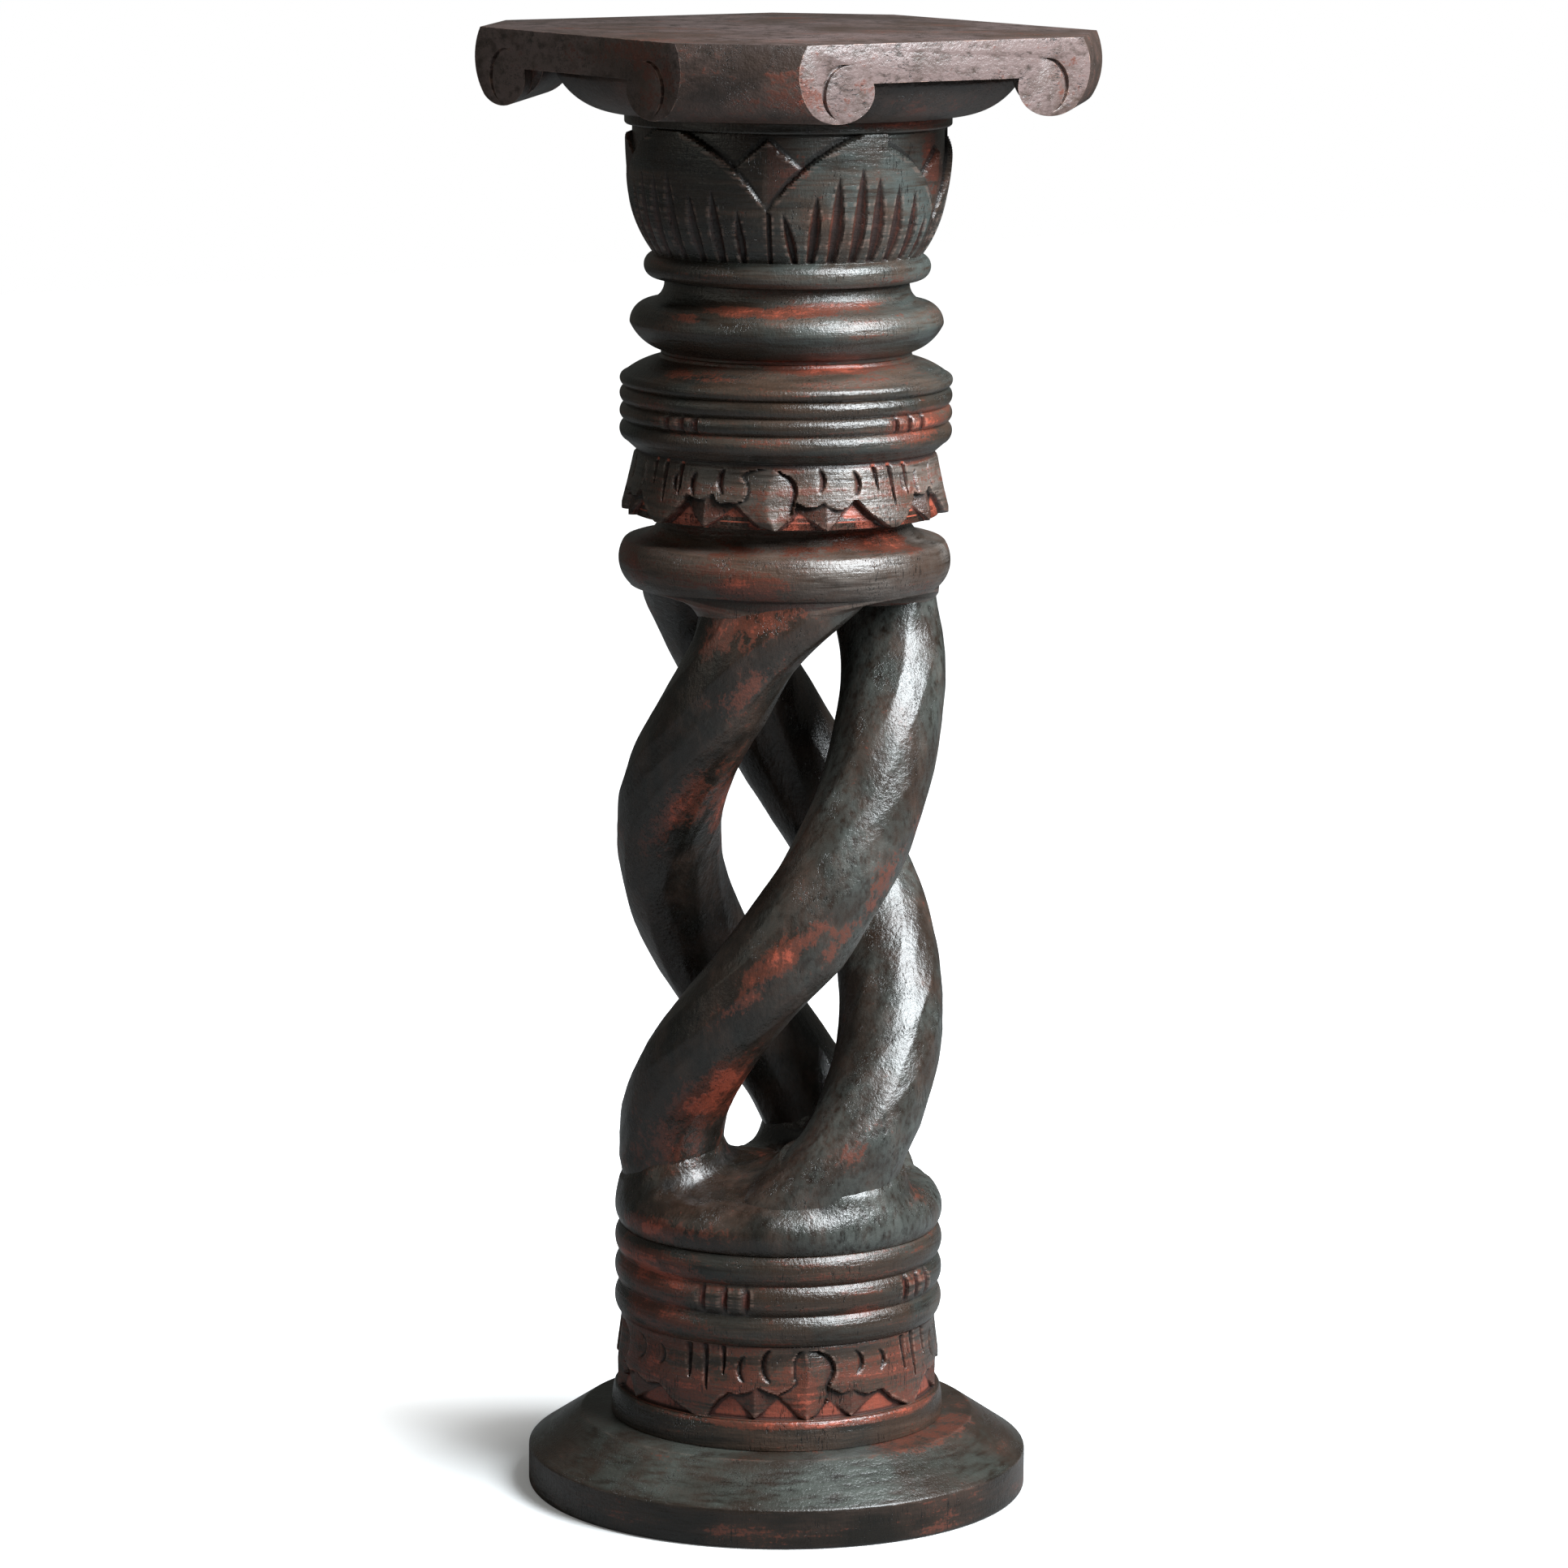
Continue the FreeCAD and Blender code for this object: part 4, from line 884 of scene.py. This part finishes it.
def makeStrand():
    # a tube of rings drawn up straight; its points are then led round the column
    clearSelection()
    bpy.ops.mesh.primitive_circle_add(vertices=twist["sides"], radius=twist["half"] * mm, fill_type="NGON",
                                      location=(0, 0, twist["low"] * mm))
    piece = bpy.context.active_object
    bpy.ops.object.transform_apply(location=True, rotation=True, scale=True)
    bpy.ops.object.mode_set(mode="EDIT")
    selectMesh()
    rise = (twist["high"] - twist["low"]) / twist["levels"] * mm
    for _ in range(twist["levels"]):
        bpy.ops.mesh.extrude_region_move(TRANSFORM_OT_translate={"value": (0, 0, rise)})
    selectMesh()
    bpy.ops.mesh.subdivide(number_cuts=3)
    bpy.ops.mesh.remove_doubles(threshold=0.01 * mm)
    bpy.ops.mesh.normals_make_consistent(inside=False)
    bpy.ops.object.mode_set(mode="OBJECT")
    return piece


strandZones = [
    [(0, 351, 8, 22, 0.75), (-30, 262, 11, 24, 0.8), (42, 545, 9, 9, 0.5), (42, 398, 10, 25, 0.45),
     (-58, 228, 20, 34, 0.42), (-14, 322, 7, 18, 0.52), (30, 372, 7, 34, 0.5)],
    [(28, 335, 7, 40, 0.45), (-120, 540, 20, 20, 0.35), (30, 225, 8, 20, 0.3), (20, 280, 6, 30, 0.42)],
    [(-15, 552, 20, 20, 0.6), (-16, 510, 10, 24, 0.45), (-50, 432, 8, 34, 0.62),
     (-95, 400, 20, 40, 0.3)],
]
strandBlank = makeStrand()
for number, (habits, zones) in enumerate(zip(twist["habits"], strandZones)):
    pickOnly(strandBlank)
    bpy.ops.object.duplicate()
    piece = bpy.context.active_object
    piece.name = f"twistStrand{number + 1}"
    piece.data.name = piece.name
    points = readPoints(piece)
    around = np.arctan2(points[:, 1], points[:, 0])
    share = np.minimum(np.hypot(points[:, 0], points[:, 1]) / twist["half"], 1)
    share = np.where(share > 0.985, 1, share)
    height = points[:, 2].copy()
    levels, ahead, outwards, widths = (np.array(row, dtype=float) for row in zip(*habits))
    nearTop = np.exp(-((twist["high"] - height) / twist["flareReach"]) ** 2)
    nearLow = np.exp(-((height - twist["foot"]) / twist["flareReach"]) ** 2)
    spread = (1 + twist["flare"] * (nearTop + nearLow)) * np.interp(height, levels, widths)
    facets = scallops(around / math.tau * twist["facetsAround"] + np.sin(height / 41 + number * 2) * 0.35,
                      height / twist["facetLength"] + number * 7, 50 + number, twist["facetsAround"])
    chips = scallops(around / math.tau * 30, height / 13, 60 + number, 30)
    tooled = ramp(height, 192, 215) * (1 - ramp(height, 548, 562))
    cut = (0.9 - 2.2 * facets ** 2) * twist["facetDepth"] + (0.4 - chips ** 2) * twist["chipDepth"]
    cut *= 0.3 + 0.7 * tooled
    outward = np.cos(around) * (twist["half"] - cut) * share
    sideways = np.sin(around) * (twist["half"] - cut) * share * spread
    sideways /= math.cos(math.radians(twist["lean"]))
    turn = np.radians(strandAngle(height) + 120 * number + np.interp(height, levels, ahead))
    reach = twist["circle"] - twist["drawIn"] * nearTop + outward + np.interp(height, levels, outwards)
    points[:, 0] = reach * np.cos(turn) - sideways * np.sin(turn)
    points[:, 1] = reach * np.sin(turn) + sideways * np.cos(turn)
    writePoints(piece, points)
    angle, radius, height = polar(points)
    markEdgeWearAndHollowShade(piece, 10)
    setAttribute(piece, "rub", rubbedZones(angle, height, zones, 0.02, 0.6))
    setAttribute(piece, "dustAndPaintedSheen", strandPaintedSheenAndDust(angle))
    finishPiece(piece, f"twist_strand_{number + 1}", strandWood)
bpy.data.objects.remove(strandBlank)
print("twist made")


# the top slab
def copyNode(nodeName, name):
    pickOnly(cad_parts[nodeName])
    bpy.ops.object.duplicate()
    piece = bpy.context.active_object
    piece.name = name
    piece.data.name = name
    piece.parent = None
    bpy.ops.object.mode_set(mode="EDIT")
    selectMesh()
    bpy.ops.mesh.remove_doubles(threshold=0.005 * mm)
    bpy.ops.mesh.dissolve_limited(angle_limit=math.radians(0.4))
    bpy.ops.object.mode_set(mode="OBJECT")
    return piece


piece = copyNode("top_slab", "topSlabWorn")
bevel = piece.modifiers.new("wornEdges", "BEVEL")
bevel.width = 0.9 * mm
bevel.segments = 2
bevel.limit_method = "ANGLE"
bevel.angle_limit = math.radians(35)
bpy.ops.object.modifier_apply(modifier="wornEdges")
angle, radius, height = polar(readPoints(piece))
setAttribute(piece, "rub", rubbedZones(angle, height, [(-9, 886, 14, 18, 0.6), (0, 868, 25, 6, 0.4)], 0.16))
# dusty wax on the top and the four scrolled sides, little of it on the corners, and worn edges
paintedSheenAndDust = piece.data.attributes.new("dustAndPaintedSheen", "FLOAT", "FACE")
worn = piece.data.attributes.new("edgeWearAndHollowShade", "FLOAT", "FACE")
for face in piece.data.polygons:
    across, along, up = (abs(part) for part in face.normal)
    level = max(across, along, up)
    corner = level < 0.99 and abs(across - along) < 0.05
    paintedSheenAndDust.data[face.index].value = 0.8 if up > 0.99 else 0.05 if corner else 2.0
    worn.data[face.index].value = 0.5 if level < 0.99 and not corner and face.area < 1e-4 else 0.0
finishPiece(piece, "top_slab", topWood, 30)
print("top made")

for material, names in ((dowelWood, ("drum_dowel", "collar_dowel", "capital_dowel")),
                        (screwSteel, ("slab_screws", "plinth_screws", "plinth_washers"))):
    for name in names:
        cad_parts[name].data.materials.clear()
        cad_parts[name].data.materials.append(material)


# stage, light and camera
stage = {"floorSide": 14.0, "floorColour": "#f4f4f4", "bounceColour": "#7c7c7c", "cameraLift": 0.1}
clearSelection()
bpy.ops.mesh.primitive_plane_add(size=stage["floorSide"], location=(0, 0, -0.0003))
floor = bpy.context.active_object
floor.name = "studioFloor"
material, tree = newMaterial("paintedStudioFloor")
# matt white paint; towards the camera a little light is added, so that it is white but for the
# shadow, and less of its light is thrown back at the column
toCamera = addNode(tree, "ShaderNodeLightPath").outputs["Is Camera Ray"]
place = addNode(tree, "ShaderNodeTexCoord").outputs["Object"]
away = addNode(tree, "ShaderNodeVectorMath", {"operation": "LENGTH"}, {0: place}).outputs["Value"]
far = addNode(tree, "ShaderNodeMapRange", {"From Min": 0.15, "From Max": 0.38}, {"Value": away}).outputs[0]
glow = addNode(tree, "ShaderNodeMath", {"operation": "MULTIPLY_ADD", 1: 1.0 - stage["cameraLift"],
               2: stage["cameraLift"]}, {0: far}).outputs[0]
glow = addNode(tree, "ShaderNodeMath", {"operation": "MULTIPLY"}, {0: glow, 1: toCamera}).outputs[0]
tone = addNode(tree, "ShaderNodeMix", {"data_type": "RGBA", 6: hexColour(stage["bounceColour"]),
               7: hexColour(stage["floorColour"])}, {"Factor": toCamera}).outputs[2]
paint = addNode(tree, "ShaderNodeBsdfDiffuse", {}, {"Color": tone})
light = addNode(tree, "ShaderNodeEmission", {}, {"Strength": glow})
both = addNode(tree, "ShaderNodeAddShader", {}, {0: paint.outputs[0], 1: light.outputs[0]})
addNode(tree, "ShaderNodeOutputMaterial", {}, {"Surface": both.outputs[0]})
floor.data.materials.append(material)

world = bpy.data.worlds.new("softStudio")
bpy.context.scene.world = world
world.use_nodes = True
tree = world.node_tree
tree.nodes.clear()
rays = addNode(tree, "ShaderNodeLightPath")
seen = addNode(tree, "ShaderNodeMath", {"operation": "MAXIMUM"},
               {0: rays.outputs["Is Camera Ray"], 1: rays.outputs["Is Transmission Ray"]}).outputs[0]
room = addNode(tree, "ShaderNodeBackground", {"Color": hexColour("#eef2ea"), "Strength": 0.075})
white = addNode(tree, "ShaderNodeBackground", {"Color": (1, 1, 1, 1), "Strength": 1.0})
mixed = addNode(tree, "ShaderNodeMixShader", {}, {0: seen, 1: room.outputs[0], 2: white.outputs[0]})
addNode(tree, "ShaderNodeOutputWorld", {}, {"Surface": mixed.outputs[0]})


def addSoftbox(name, side, lift, distance, size, power, colour):
    # a square soft light at an angle round the column and above the floor, aimed at its middle
    turn = math.radians(side + facing)
    up = math.radians(lift)
    target = Vector((0, 0, 0.5))
    level = math.cos(up)
    spot = target + Vector((math.cos(turn) * level, math.sin(turn) * level, math.sin(up))) * distance
    clearSelection()
    bpy.ops.object.light_add(type="AREA", location=spot)
    lamp = bpy.context.active_object
    lamp.name = name
    lamp.rotation_euler = (target - spot).to_track_quat("-Z", "Y").to_euler()
    lamp.data.shape = "SQUARE"
    lamp.data.size = size
    lamp.data.energy = power
    lamp.data.color = hexColour(colour)[:3]
    return lamp


addSoftbox("keySoftbox", 58, 41, 2.6, 1.7, 225, "#f4fbff")
addSoftbox("fillSoftbox", -62, 22, 3.2, 2.2, 9, "#f6f6ea")

view = {"distance": 3.806, "height": 1.102, "azimuth": -36.3, "pitch": 9.87, "roll": 0.52,
        "lens": 144.82, "sensor": 36, "shift": 0.001}
azimuth = math.radians(view["azimuth"])
clearSelection()
bpy.ops.object.camera_add(location=(math.sin(azimuth) * view["distance"],
                                    -math.cos(azimuth) * view["distance"], view["height"]))
camera = bpy.context.active_object
camera.name = "photoCamera"
tilt = Matrix.Rotation(math.radians(90 - view["pitch"]), 4, "X")
roll = Matrix.Rotation(math.radians(view["roll"]), 4, "Z")
camera.rotation_euler = (Matrix.Rotation(azimuth, 4, "Z") @ tilt @ roll).to_euler()
camera.data.lens = view["lens"]
camera.data.sensor_width = view["sensor"]
camera.data.shift_x = view["shift"]
camera.data.clip_end = 60
bpy.context.scene.camera = camera
bpy.context.scene.view_settings.view_transform = "Standard"

print("stage set")
